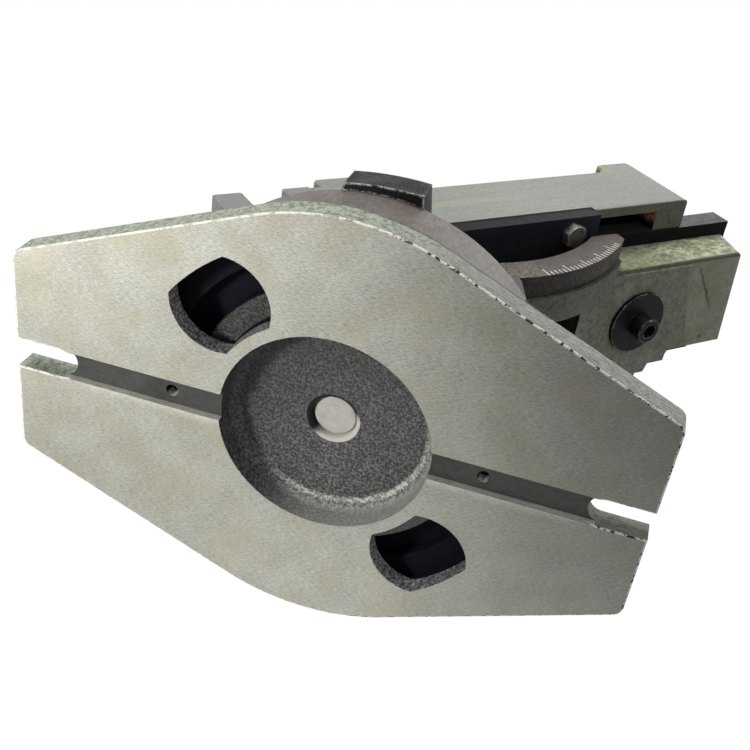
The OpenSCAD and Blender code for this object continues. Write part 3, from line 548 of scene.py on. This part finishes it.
def bed_side_material(colours):
    """Painted side of the bed: light yellow green with olive smudges."""
    f = start_material("bed side paint")
    place = in_vise_frame(f)
    x, _, z = f.split(place)
    smudge = f.ramp(f.noise(f.stretched(place, 9.0, 8.0, 5.0), 1.0, 6.0, 0.78), 0.42, 0.62)
    low = f.ramp(f.ragged(z, place, 5.0, 8.0, 4.0, 0.7), 8.5, 4.0)
    # Olive smudges, and darker along the lower edge and towards the left
    smudges_and_darkening = f.max(f.max(smudge, low), f.ramp(x, 118.0, 96.0, 0.0, 0.75))
    body = f.shades(f.ramp(f.noise(place, 3.0, 5.0, 0.8), 0.38, 0.62), colours.bed_light, 0.62, 1.3)
    full = f.mix(f.mul(smudges_and_darkening, 0.8), body, darker(colours.bed_stain, 0.8))
    return set_shader(f, full, 0.6, 0.0, 0.3, f.grain(place, 1.4)["Height"], 0.22, 0.8)


def bed_under_material(colours):
    """Painted underside of the bed: grey green, lighter to the right, with scratches."""
    f = start_material("bed underside paint")
    place = in_vise_frame(f)
    x, y, _ = f.split(place)
    spots = f.blotches(place, 22.0, 0.7)
    slow = f.noise(f.stretched(place, 9.0, 18.0, 9.0), 1.0, 4.0, 0.65)
    body = f.shades(f.ramp(slow, 0.3, 0.7), colours.bed_paint, 0.78, 1.12)
    body = f.mottled(body, place, 3.0, 0.66, 1.3)
    skew = f.minus(x, f.mul(y, 0.33))
    light = f.ramp(f.plus(skew, f.mul(slow, 4.0)), 134.5, 137.0, 0.0, 0.3)
    body = f.mix(light, body, darker(colours.bed_light, 0.9))
    body = f.mix(f.mul(spots["Mask"], 0.3), body, colours.bed_stain)
    # A short scratch and a dark mark near the right end
    line = f.minus(x, f.ragged(f.mul(y, 0.66), place, 4.0, 3.0))
    scratch = f.ramp(f.abs(f.minus(line, 152.6)), 1.6, 0.3)
    scratch = f.mul(scratch, f.mul(f.ramp(y, -36.0, -28.0), f.ramp(y, 4.0, -8.0)))
    away = f.add("VectorMath", {0: place, 1: (152.6, 18.7, 0.0)}, operation="DISTANCE").outputs["Value"]
    broken = f.ramp(f.noise(place, 1.2, 3.0, 0.7), 0.3, 0.55, 0.3, 0.85)
    dark = f.mul(f.max(scratch, f.ramp(away, 2.2, 1.0)), broken)
    body = f.mix(dark, body, tone(36, 38, 28))
    return set_shader(f, body, 0.62, 0.0, 0.25, f.grain(place, 1.4)["Height"], 0.2, 0.8)


def primer_material(colours):
    """Bare primer in the window's outer corner; further in the window is painted near black as painted shade."""
    f = start_material("bare primer")
    place = in_vise_frame(f)
    _, y, _ = f.split(place)
    # Painted shade: away from the outer corner the window is painted near black
    outer = f.ramp(f.minus(f.abs(y), f.mul(f.noise(place, 3.0, 4.0, 0.7), 7.0)), 44.5, 48.0)
    specks = f.ramp(f.noise(place, 1.5, 3.0, 0.7), 0.42, 0.58)
    red = f.mix(specks, darker(colours.primer, 0.5), tone(222, 176, 158))
    return set_shader(f, f.mix(outer, tone(16, 15, 20), red), 0.6, 0.0, 0.05, f.noise(place, 1.5), 0.3)


def slide_side_material(colours):
    """Painted side of the slide: light grey green with faint streaks and a stain by the raised end."""
    f = start_material("slide paint")
    place = in_vise_frame(f)
    x, _, z = f.split(place)
    streaks = f.noise(f.stretched(place, 40.0, 6.0, 3.0), 1.0, 4.0, 0.6)
    body = f.shades(f.ramp(streaks, 0.32, 0.68), colours.slide_paint, 0.95, 1.05)
    body = f.mottled(body, place, 2.6, 0.9, 1.1, 4.0, 0.75)
    band = f.ramp(f.abs(f.minus(z, 51.0)), 3.6, 1.6)
    body = f.mix(f.mul(band, f.ramp(x, 45.0, 5.0, 0.0, 0.4)), body, tone(146, 148, 124))
    far = f.diagonal(f.minus(x, 109.5), f.minus(z, 76.0))
    stain = f.ramp(f.ragged(far, place, 3.0, 7.0, 4.0, 0.7), 12.5, 6.5)
    body = f.mix(f.mul(stain, 0.7), body, tone(142, 144, 100))
    # Darker along the lower edge, and painted shade towards the right, where the lamps' light falls off
    body = f.mix(f.ramp(z, 30.5, 27.5, 0.0, 0.35), body, tone(100, 104, 92))
    body = f.times(body, f.ramp(x, 20.0, 125.0, 1.0, 0.78))
    return set_shader(f, body, 0.55, 0.0, 0.35, f.grain(place, 1.2)["Height"], 0.1, 0.7)


def jaw_material(colours):
    """Ground jaw plate: dark sides, and a gripping face with fine crossed grooves."""
    f = start_material("jaw plate")
    place = in_vise_frame(f)
    x, y, z = f.split(place)
    grain = f.grinding(f.stretched(place, 0.9, 6.0, 0.9))
    body = f.shades(grain["Tone"], colours.jaw, 0.8, 1.2)

    def grooves(a, b):
        return f.ramp(f.math("SINE", f.mul(f.plus(a, b), 2 * math.pi / 2.2)), 0.75, 0.95)

    crossed = f.max(grooves(y, z), grooves(y, f.mul(z, -1.0)))
    crossed = f.mul(crossed, f.mul(f.ramp(x, -121.6, -121.2), f.ramp(x, -97.2, -97.6)))
    # Painted shade: the grooves are painted darker
    full = f.mix(f.mul(crossed, 0.5), body, darker(colours.jaw, 0.35))
    height = f.minus(f.mul(grain["Height"], 0.2), crossed)
    return set_shader(f, full, 0.42, 0.45, 0.5, height, 0.25, 0.8)


def steel_material(name, base, roughness=0.4, metallic=0.6, contrast=0.25, specular=0.5, wear_and_highlight=None):
    """Turned or forged steel of fasteners: fine mottling, darker in patches."""
    f = start_material(name)
    spots = f.blotches(f.place, 5.0, 0.6)
    fine = f.noise(f.place, 0.7, 3.0, 0.6)
    body = f.shades(f.ramp(fine, 0.3, 0.7), base, 1 - contrast, 1 + contrast)
    full = f.mix(f.mul(spots["Mask"], 0.45), body, darker(base, 0.5))
    # The edges are painted bright: a painted highlight on the black washer and screw, near-white edges on the hex
    # bolts
    if wear_and_highlight is not None:
        full = f.mix(f.mul(f.wear_and_highlight(f.place, 0.0006, 3.0), 0.9), full, wear_and_highlight)
    rough = f.ramp(spots["Tone"], 0.3, 0.7, roughness - 0.08, roughness + 0.1)
    return set_shader(f, full, rough, metallic, specular, fine, 0.04, 0.6)


def chosen(context):
    return context.scene.vise_colours, context.scene.vise_sizes


def radius(p):
    """A point's distance from the swivel axis."""
    return math.hypot(p.x, p.y)


def near(value, target, room=0.05):
    return abs(value - target) < room


def to_vise(point):
    """A world point in millimetres, in the tilted vise frame."""
    x = (point.x + point.z - AXIS_H) * HALF
    z = BED_DROP + (point.z - AXIS_H - point.x) * HALF
    return Vector((x, point.y, z))


def only(piece):
    """Makes one object the only selected and the active one."""
    bpy.ops.object.select_all(action="DESELECT")
    piece.select_set(True)
    bpy.context.view_layer.objects.active = piece


def new_object(name, data):
    made = bpy.data.objects.new(name, data)
    bpy.context.scene.collection.objects.link(made)
    return made


def merged_copy(node, name):
    """A copy of a CAD node's surface, merged into one skin with its flat faces whole."""
    piece = new_object(name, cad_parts[node].data.copy())
    piece.data.name = name
    only(piece)
    bpy.ops.mesh.customdata_custom_splitnormals_clear()
    bpy.ops.object.mode_set(mode="EDIT")
    bpy.ops.mesh.select_all(action="SELECT")
    bpy.ops.mesh.remove_doubles(threshold=1e-5)
    bpy.ops.mesh.dissolve_limited(angle_limit=math.radians(0.4))
    bpy.ops.object.mode_set(mode="OBJECT")
    piece.data.materials.clear()
    return piece


def round_edges(piece, offset, test=None, segments=None, vise=False, clamp=True):
    """Bevels the sharp edges whose middle passes the test."""
    segments = segments or bpy.context.scene.vise_sizes.segments
    only(piece)
    bpy.ops.object.mode_set(mode="EDIT")
    bpy.ops.mesh.select_mode(type="EDGE")
    bpy.ops.mesh.select_all(action="DESELECT")
    skin = bmesh.from_edit_mesh(piece.data)
    count = 0
    for edge in skin.edges:
        if len(edge.link_faces) != 2 or edge.calc_face_angle(0) < SHARP_FROM:
            continue
        middle = (edge.verts[0].co + edge.verts[1].co) / 2 / MM
        if vise:
            middle = to_vise(middle)
        if test is None or test(middle):
            edge.select_set(True)
            count += 1
    bmesh.update_edit_mesh(piece.data)
    if count:
        bpy.ops.mesh.bevel(offset=offset, segments=segments, profile=0.5, affect="EDGES", clamp_overlap=clamp)
    bpy.ops.object.mode_set(mode="OBJECT")


def give_materials(piece, rules, vise=False):
    """Gives each face the first material whose test its middle and direction pass, or which has none."""
    for material, _ in rules:
        piece.data.materials.append(material)
    for face in piece.data.polygons:
        middle = face.center / MM
        turned = face.normal.copy()
        if vise:
            middle = to_vise(middle)
            turned = Vector(((turned.x + turned.z) * HALF, turned.y, (turned.z - turned.x) * HALF))
        for index, (_, test) in enumerate(rules):
            if test is None or test(middle, turned):
                face.material_index = index
                break


def finish_piece(piece, node, body):
    """Smooths the shading between flats, and lets the piece stand for its CAD node."""
    only(piece)
    bpy.ops.object.shade_smooth_by_angle(angle=SMOOTH_TO)
    weighted = piece.modifiers.new("Flat faces", "WEIGHTED_NORMAL")
    weighted.keep_sharp = True
    bpy.ops.object.modifier_apply(modifier=weighted.name)
    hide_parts(node)
    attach(piece, body)


def paint_nodes(material, *nodes):
    """Gives carried-over CAD nodes their material."""
    for node in nodes:
        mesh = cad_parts[node].data
        mesh.materials.clear()
        mesh.materials.append(material)


class VISE_OT_base(bpy.types.Operator):
    """Base plate: ground underside, rough recess and pockets, painted side, and the pivot pin"""

    bl_idname = "vise.base"
    bl_label = "Base plate"

    def execute(self, context):
        colours, sizes = chosen(context)
        piece = merged_copy("base_plate", "base_casting")
        round_edges(
            piece, sizes.recess_fillet, lambda p: near(p.z, RECESS_DEPTH) and near(radius(p), RECESS_R, 0.4), 5
        )
        round_edges(piece, PIN_CHAMFER, lambda p: near(p.z, RECESS_DEPTH) and radius(p) < 12, 1)
        round_edges(piece, OUTLINE_EDGE, lambda p: near(p.z, 0) and radius(p) > 100)
        round_edges(piece, FINE_EDGE, lambda p: near(p.z, 0) and radius(p) < 100)
        round_edges(piece, RIM_EDGE, lambda p: p.z > EDGE_H - 0.1)
        ground = underside_material(colours, sizes)
        slot_floor = ground_material("key slot floor", tone(74, 73, 71), tone(40, 39, 37), sizes, contrast=0.3)
        slot_wall = ground_material("key slot wall", tone(186, 185, 176), tone(140, 138, 126), sizes, contrast=0.4)
        bore_edge = bore_material("pin bore", 0.6, 1.0, 7.0)
        key_hole = bore_material("key hole", 0.0, 1.6, 2.8)
        rough = rough_material("rough recess", colours.rough, 0.35, sizes.grain / MM, 0.36, rim=True)
        # Painted light: the pockets' walls are painted 2.6 times lighter than the rough iron, where the front light
        # falls on them
        pocket = rough_material("rough pocket wall", darker(colours.rough, 2.6), 0.4, sizes.grain / MM, 0.4)
        # Painted shade: the ring slot is painted near black
        dark = shade_black_material("ring slot", tone(20, 20, 27))
        side = base_side_material(colours)
        seat = ground_material("turned seat", colours.rim, tone(90, 80, 74), sizes)

        def in_pocket(p):
            return 55 < radius(p) < RING_OUT and 0 < p.z < RING_FLOOR

        give_materials(piece, [
            (ground, lambda p, n: p.z < 0.02 and n.z < -0.99),
            (side, lambda p, n: near(p.z, EDGE_H, 1.0) and n.z > 0.9),
            (bore_edge, lambda p, n: RECESS_DEPTH + 0.02 < p.z and radius(p) < 14),
            (rough, lambda p, n: radius(p) < RECESS_R + 0.3 and p.z < RECESS_DEPTH + 0.1),
            (key_hole, lambda p, n: near(abs(p.x), KEY_HOLE_X, KEY_HOLE_EDGE) and abs(p.y) < KEY_HOLE_EDGE
                and p.z > KEY_DEPTH + 0.05),
            (slot_wall, lambda p, n: near(abs(p.y), KEY_HALF, 0.1) and p.z < KEY_DEPTH + 0.1 and abs(n.y) > 0.5),
            (slot_floor, lambda p, n: abs(p.y) < KEY_HALF + 0.4 and p.z < 9.1 and 50 < radius(p) and abs(p.x) < 124),
            (pocket, lambda p, n: in_pocket(p) and abs(n.z) < 0.5),
            (rough, lambda p, n: in_pocket(p)),
            (dark, lambda p, n: radius(p) < RING_OUT and p.z < BASE_H - 0.1),
            (seat, lambda p, n: p.z > BASE_H - 1 and n.z > 0.95),
            (side, None),
        ])
        finish_piece(piece, "base_plate", "base")
        pin = ground_material(
            "pin end", tone(186, 184, 178), tone(150, 146, 136), sizes, roughness=0.42, contrast=0.08
        )
        paint_nodes(pin, "pivot_pin")
        return {"FINISHED"}


class VISE_OT_table(bpy.types.Operator):
    """Swivel table: turned rim, cradle cheeks and black clamp lugs"""

    bl_idname = "vise.table"
    bl_label = "Swivel table"

    def execute(self, context):
        colours, sizes = chosen(context)
        piece = merged_copy("swivel_table", "table_casting")
        round_edges(piece, sizes.cast_edge, lambda p: p.z > SHOULDER_Z - 0.1 and abs(p.y) > 60, 3)
        round_edges(piece, sizes.edge, lambda p: p.z < SHOULDER_Z - 0.1)
        rim = ground_material(
            "turned rim", colours.rim, tone(104, 86, 74), sizes, (0, 0, 1), 0.1, contrast=0.24, mottle=0.16
        )
        black = paint_material(
            "black lug paint", colours.black, tone(66, 66, 66), 1.2, 0.6, 0.8, specular=0.15, wear_and_highlight=colours.chip
        )
        inner = ground_material("machined table", colours.machined, tone(70, 62, 56), sizes)
        # Painted shade: the table's underside is painted near black
        below = shade_black_material("table underside", tone(20, 20, 27))
        give_materials(piece, [
            (below, lambda p, n: p.z < BASE_H + 0.1 and n.z < -0.5),
            (black, lambda p, n: p.z > SHOULDER_Z + 0.05 and abs(p.y) > 64 or radius(p) > 97.2),
            (rim, lambda p, n: radius(p) > 95.8),
            (inner, None),
        ])
        finish_piece(piece, "swivel_table", "swivel")
        return {"FINISHED"}


class VISE_OT_bed(bpy.types.Operator):
    """Bed: painted casting with machined guideways, the graduated rocker and the fixed jaw"""

    bl_idname = "vise.bed"
    bl_label = "Bed"

    def execute(self, context):
        colours, sizes = chosen(context)
        piece = merged_copy("bed", "bed_casting")

        def rough_part(p):
            return abs(p.y) < 42.9 and p.z < 24.8

        def front_edge(p):
            return p.y < -35 and 75 < p.x < 170 and p.z < 24 and (p.z < 0.1 or p.x > 160)

        def inner_edge(p):
            return rough_part(p) and p.x < 70 and not front_edge(p) and not (p.y > 22 and p.x > 60 and p.z < 0.5)

        round_edges(piece, BED_FRONT_EDGE, front_edge, 3, vise=True, clamp=False)
        round_edges(piece, BED_INNER_EDGE, inner_edge, vise=True)
        round_edges(piece, sizes.edge, lambda p: not rough_part(p), vise=True)
        scale = ring_material(colours, sizes)
        band = ground_material(
            "rocker band", tone(62, 58, 54), tone(30, 28, 26), sizes, (0, 1, 0), 0.0, contrast=0.4, specular=0.1,
            mottle=0.35,
        )
        rail = ground_material(
            "guideway", tone(50, 47, 47), tone(34, 32, 31), sizes, (1, 0, 1), 0.0, contrast=0.15, specular=0.08
        )
        rail_top = ground_material(
            "guideway top", tone(122, 117, 112), tone(92, 84, 76), sizes, contrast=0.12, specular=0.3
        )
        # Painted shade: the guideways' underside is painted near black, under the keeper plates
        rail_under = shade_black_material("guideway underside", tone(22, 21, 22), 0.03, 0.4)
        wall = paint_material("rough rocker wall", tone(94, 96, 84), tone(16, 17, 13), 3.2, 1.0, 0.9)
        side = bed_side_material(colours)
        under = bed_under_material(colours)
        lip = paint_material("bed lower lip", tone(84, 86, 66), tone(34, 36, 24), 1.5, 0.9, 0.3)
        block = ground_material("jaw casting", tone(106, 103, 97), tone(76, 72, 66), sizes, contrast=0.12)

        def on_rail(p):
            return p.x > RAIL_X0 and RAIL_Z0 < p.z < RAIL_Z1

        def from_axis(p):
            return math.hypot(p.x, p.z - BED_DROP)

        give_materials(piece, [
            (rail_under, lambda p, n: on_rail(p) and p.z < RAIL_Z0 + 0.3 and n.z < -0.5),
            (rail_top, lambda p, n: on_rail(p) and p.z > RAIL_Z1 - 0.7 and n.z > 0.5),
            (rail, lambda p, n: on_rail(p)),
            (block, lambda p, n: p.z > RAIL_Z0),
            (scale, lambda p, n: abs(p.y) > FLANGE_Y),
            (band, lambda p, n: abs(p.y) > 43.05),
            (wall, lambda p, n: p.z < -1.6 or from_axis(p) > 109 and p.z < 11.2 and abs(p.y) > 36.9),
            (lip, lambda p, n: p.x > 60 and p.y < -30 and p.z < 2.4 and -0.97 < n.y < -0.15),
            (side, lambda p, n: abs(n.y) > 0.6 and p.z > 0.6),
            (under, None),
        ], vise=True)
        finish_piece(piece, "bed", "tilt")
        return {"FINISHED"}


class VISE_OT_slide(bpy.types.Operator):
    """Slide: the moving jaw's long painted casting, with its core plugs"""

    bl_idname = "vise.slide"
    bl_label = "Slide"

    def execute(self, context):
        colours, sizes = chosen(context)
        piece = merged_copy("slide", "slide_casting")
        end = SLIDE_X1 - 1
        round_edges(piece, SLIDE_END_EDGE, lambda p: abs(p.y) > 60 and p.x > end, 4, vise=True)
        round_edges(piece, sizes.cast_edge, lambda p: abs(p.y) > 60 and p.z > 31 and p.x < end, 3, vise=True)
        round_edges(piece, OUTLINE_EDGE, lambda p: abs(p.y) > 60 and p.z < 31 and 66 < p.x < 133, vise=True)
        side = slide_side_material(colours)
        lower = paint_material(
            "slide lower edge", tone(86, 89, 79), tone(34, 36, 29), 1.3, 0.7, 0.18, vise=True, stain=tone(84, 86, 60)
        )
        # Painted shade: the slide's inside is painted near black
        inside = shade_black_material("slide inside", tone(14, 14, 20), 0.03)
        primer = primer_material(colours)
        seat = ground_material("slide seats", tone(108, 104, 100), tone(80, 74, 66), sizes, contrast=0.1)
        give_materials(piece, [
            (primer, lambda p, n: n.x < -0.9 and 112 < p.x < 114 and 44 < abs(p.y) < 58),
            (inside, lambda p, n: abs(p.y) < 57.5 and 65 < p.x < SLIDE_IN_X1 and 26.3 < p.z < SLIDE_IN_Z1),
            (inside, lambda p, n: abs(p.y) < 24.2 and p.x < SLIDE_IN_X1 and RAIL_Z1 < p.z < SLIDE_IN_Z1),
            (seat, lambda p, n: p.z < 38.5 and abs(p.y) < 45.5),
            (lower, lambda p, n: n.z < -0.5 and p.z < 31),
            (seat, lambda p, n: n.x < -0.9 and p.x < -80),
            (side, None),
        ], vise=True)
        finish_piece(piece, "slide", "jaw")
        paint_nodes(lower, "core_plugs")
        return {"FINISHED"}


class VISE_OT_jaws(bpy.types.Operator):
    """Jaw plates with crossed grooves, and their screws"""

    bl_idname = "vise.jaws"
    bl_label = "Jaw plates"

    def execute(self, context):
        colours, _ = chosen(context)
        plate = jaw_material(colours)
        for node, body in (("fixed_jaw_plate", "tilt"), ("moving_jaw_plate", "jaw")):
            piece = merged_copy(node, node + "_ground")
            round_edges(piece, FINE_EDGE)
            give_materials(piece, [(plate, None)])
            finish_piece(piece, node, body)
        screws = steel_material("black screws", tone(48, 48, 50), 0.45, 0.3)
        paint_nodes(screws, "fixed_jaw_screws", "moving_jaw_screws")
        return {"FINISHED"}


class VISE_OT_keepers(bpy.types.Operator):
    """Keeper plates under the guideways, with their hex bolts"""

    bl_idname = "vise.keepers"
    bl_label = "Keeper plates"

    def execute(self, context):
        colours, sizes = chosen(context)
        under = steel_material("keeper underside", colours.keeper, 0.5, 0.0, specular=0.1)
        edge = ground_material(
            "keeper edge", tone(34, 34, 36), tone(26, 26, 28), sizes, metallic=0.0, contrast=0.2, specular=0.02
        )
        for side in ("front", "rear"):
            piece = merged_copy("keeper_" + side, "keeper_plate_" + side)
            round_edges(piece, FINE_EDGE)
            give_materials(piece, [(edge, lambda p, n: abs(n.y) > 0.7 and abs(p.y) > 50), (under, None)], vise=True)
            finish_piece(piece, "keeper_" + side, "jaw")
        bolts = steel_material("hex bolts", colours.steel, 0.28, contrast=0.3, wear_and_highlight=tone(226, 222, 212))
        paint_nodes(bolts, "keeper_bolts")
        return {"FINISHED"}


class VISE_OT_leadscrew(bpy.types.Operator):
    """Leadscrew, its bearing, collar and nut, and the screw with its washer under the bed"""

    bl_idname = "vise.leadscrew"
    bl_label = "Leadscrew"

    def execute(self, context):
        colours, _ = chosen(context)
        turned = steel_material("turned steel", tone(140, 138, 134), 0.3, 0.8, 0.1)
        bronze = steel_material("bronze", colours.bronze, 0.35, 0.8, 0.12)
        # Painted highlight: the edges of the black washer and screw are painted light
        black = steel_material("oiled black steel", tone(26, 25, 28), 0.45, 0.0, 0.2, 0.07, wear_and_highlight=tone(190, 184, 166))
        paint_nodes(turned, "leadscrew", "screw_collar", "collar_pin")
        paint_nodes(bronze, "bearing_bush", "thrust_washers", "leadscrew_nut")
        paint_nodes(black, "nut_washer", "nut_screw")
        return {"FINISHED"}


class VISE_OT_clamps(bpy.types.Operator):
    """Swivel clamp bolts and tilt clamps with their washers and nuts"""

    bl_idname = "vise.clamps"
    bl_label = "Clamps"

    def execute(self, context):
        colours, _ = chosen(context)
        bolt = steel_material("clamp bolts", darker(colours.steel, 0.55), metallic=0.5)
        washer = steel_material("clamp washers", colours.steel, 0.35, 0.7)
        plate = steel_material("clamp plates", tone(52, 52, 54), 0.5, 0.2)
        paint_nodes(bolt, "t_bolts", "t_bolt_nuts", "tilt_clamp_bolts")
        paint_nodes(washer, "t_bolt_washers", "tilt_clamp_washers")
        paint_nodes(plate, "tilt_clamps")
        return {"FINISHED"}


def lamp(name, place, target, watts, tint, size=None):
    """A lamp turned towards a target: a disk of that size, or without a size a spot with a soft cone."""
    data = bpy.data.lights.new(name, "AREA" if size else "SPOT")
    data.energy, data.color = watts, tint
    if size:
        data.shape, data.size = "DISK", size
    else:
        data.spot_size, data.spot_blend, data.shadow_soft_size = math.radians(62), 0.4, 0.05
    holder = new_object(name, data)
    holder.location = place
    holder.rotation_euler = (Vector(target) - Vector(place)).to_track_quat("-Z", "Y").to_euler()


def studio_world(strength):
    """White behind the object and in its reflections, a plain level of light elsewhere."""
    world = bpy.data.worlds.new("studio")
    bpy.context.scene.world = world
    f = empty_tree(world)
    path = f.add("LightPath").outputs
    seen = f.max(f.max(path["Is Camera Ray"], path["Is Glossy Ray"]), path["Is Transmission Ray"])
    white = f.add("Background", {"Color": (1, 1, 1), "Strength": 1.0})
    ambient = f.add("Background", {"Color": (0.97, 0.98, 1.0), "Strength": strength})
    mixed = f.add("MixShader", {0: seen, 1: ambient.outputs[0], 2: white.outputs[0]})
    f.add("OutputWorld", {0: mixed.outputs[0]})


def floor_material(rgb):
    """Pale floor that shows from above only, so that the underside can be seen through it."""
    material = bpy.data.materials.new("pale floor")
    f = empty_tree(material)
    path = f.add("LightPath").outputs
    back = f.add("NewGeometry").outputs["Backfacing"]
    shown = f.mul(path["Is Camera Ray"], f.minus(1.0, back))
    pale = f.add("BsdfDiffuse", {"Color": rgb})
    # Far from the object the floor fades into the white background
    place = f.add("TexCoord").outputs["Object"]
    far = f.ramp(f.add("VectorMath", {0: place}, operation="LENGTH").outputs["Value"], 0.3, 1.1)
    white = f.add("Emission", {"Color": (1, 1, 1), "Strength": 1.0})
    seen = f.add("MixShader", {0: far, 1: pale.outputs[0], 2: white.outputs[0]})
    clear = f.add("BsdfTransparent")
    mixed = f.add("MixShader", {0: shown, 1: clear.outputs[0], 2: seen.outputs[0]})
    f.add("OutputMaterial", {0: mixed.outputs[0]})
    return material


class VISE_OT_studio(bpy.types.Operator):
    """Floor, lamps and world"""

    bl_idname = "vise.studio"
    bl_label = "Studio"

    def execute(self, context):
        studio = context.scene.vise_studio
        bpy.ops.object.select_all(action="DESELECT")
        bpy.ops.mesh.primitive_plane_add(size=studio.floor_size, location=(0, 0, -0.0004))
        floor = context.object
        floor.name = "floor"
        floor.data.materials.append(floor_material(studio.floor))
        studio_world(studio.world)
        lamp("key lamp", (-0.336, -0.115, -0.389), (-0.2, -0.02, 0.0), studio.key, (1.0, 0.985, 0.95))
        lamp("front lamp", (-0.35, -1.3, 0.3), (0.0, 0.0, 0.1), studio.front, (1.0, 0.99, 0.97), 0.8)
        lamp("fill lamp", (0.9, -0.6, -0.5), (0.1, 0.0, 0.1), studio.fill, (0.96, 0.98, 1.0), 1.0)
        lamp("top lamp", (0.2, 0.1, 1.5), (0.0, 0.0, 0.1), studio.top, (1, 1, 1), 1.2)
        context.scene.view_settings.view_transform = "Standard"
        return {"FINISHED"}


class VISE_OT_camera(bpy.types.Operator):
    """Camera below and in front of the base plate, as in the photograph"""

    bl_idname = "vise.camera"
    bl_label = "Camera"

    def execute(self, context):
        data = bpy.data.cameras.new("camera")
        data.sensor_fit = "HORIZONTAL"
        data.sensor_width = 36.0
        data.lens = FOCAL / PICTURE * data.sensor_width
        data.shift_x = (PICTURE / 2 - CENTRE_X) / PICTURE
        data.shift_y = (CENTRE_Y - PICTURE / 2) / PICTURE
        data.clip_start = 0.01
        data.clip_end = 100
        camera = new_object("camera", data)
        right = Vector((0.957868, -0.151124, 0.244236))
        down = Vector((0.258448, 0.824459, -0.50346))
        forward = Vector((-0.125277, 0.54537, 0.82878))
        turn = Matrix((right, -down, -forward)).transposed().to_4x4()
        camera.matrix_world = Matrix.Translation((0.098233, -0.287584, -0.383645)) @ turn
        context.scene.camera = camera
        return {"FINISHED"}


STEPS = ("camera", "studio", "base", "table", "bed", "slide", "jaws", "keepers", "leadscrew", "clamps")


class VISE_PT_sidebar(bpy.types.Panel):
    """Buttons for each group of pieces, and their colours and sizes"""

    bl_idname = "VISE_PT_sidebar"
    bl_label = "Tilting machine vise"
    bl_space_type = "VIEW_3D"
    bl_region_type = "UI"
    bl_category = "Vise"

    def draw(self, context):
        layout = self.layout
        for step in STEPS:
            layout.operator("vise." + step)
        for group in (context.scene.vise_colours, context.scene.vise_sizes, context.scene.vise_studio):
            box = layout.box()
            for name in group.bl_rna.properties.keys():
                if name not in ("rna_type", "name"):
                    box.prop(group, name)


CLASSES = (
    ViseColours, ViseSizes, ViseStudio, VISE_OT_camera, VISE_OT_studio, VISE_OT_base, VISE_OT_table,
    VISE_OT_bed, VISE_OT_slide, VISE_OT_jaws, VISE_OT_keepers, VISE_OT_leadscrew, VISE_OT_clamps, VISE_PT_sidebar,
)


def register():
    for cls in CLASSES:
        bpy.utils.register_class(cls)
    bpy.types.Scene.vise_colours = PointerProperty(type=ViseColours)
    bpy.types.Scene.vise_sizes = PointerProperty(type=ViseSizes)
    bpy.types.Scene.vise_studio = PointerProperty(type=ViseStudio)


def unregister():
    for name in ("vise_colours", "vise_sizes", "vise_studio"):
        delattr(bpy.types.Scene, name)
    for cls in reversed(CLASSES):
        bpy.utils.unregister_class(cls)


def main():
    register()
    for step in STEPS:
        getattr(bpy.ops.vise, step)()


if __name__ == "__main__":
    main()
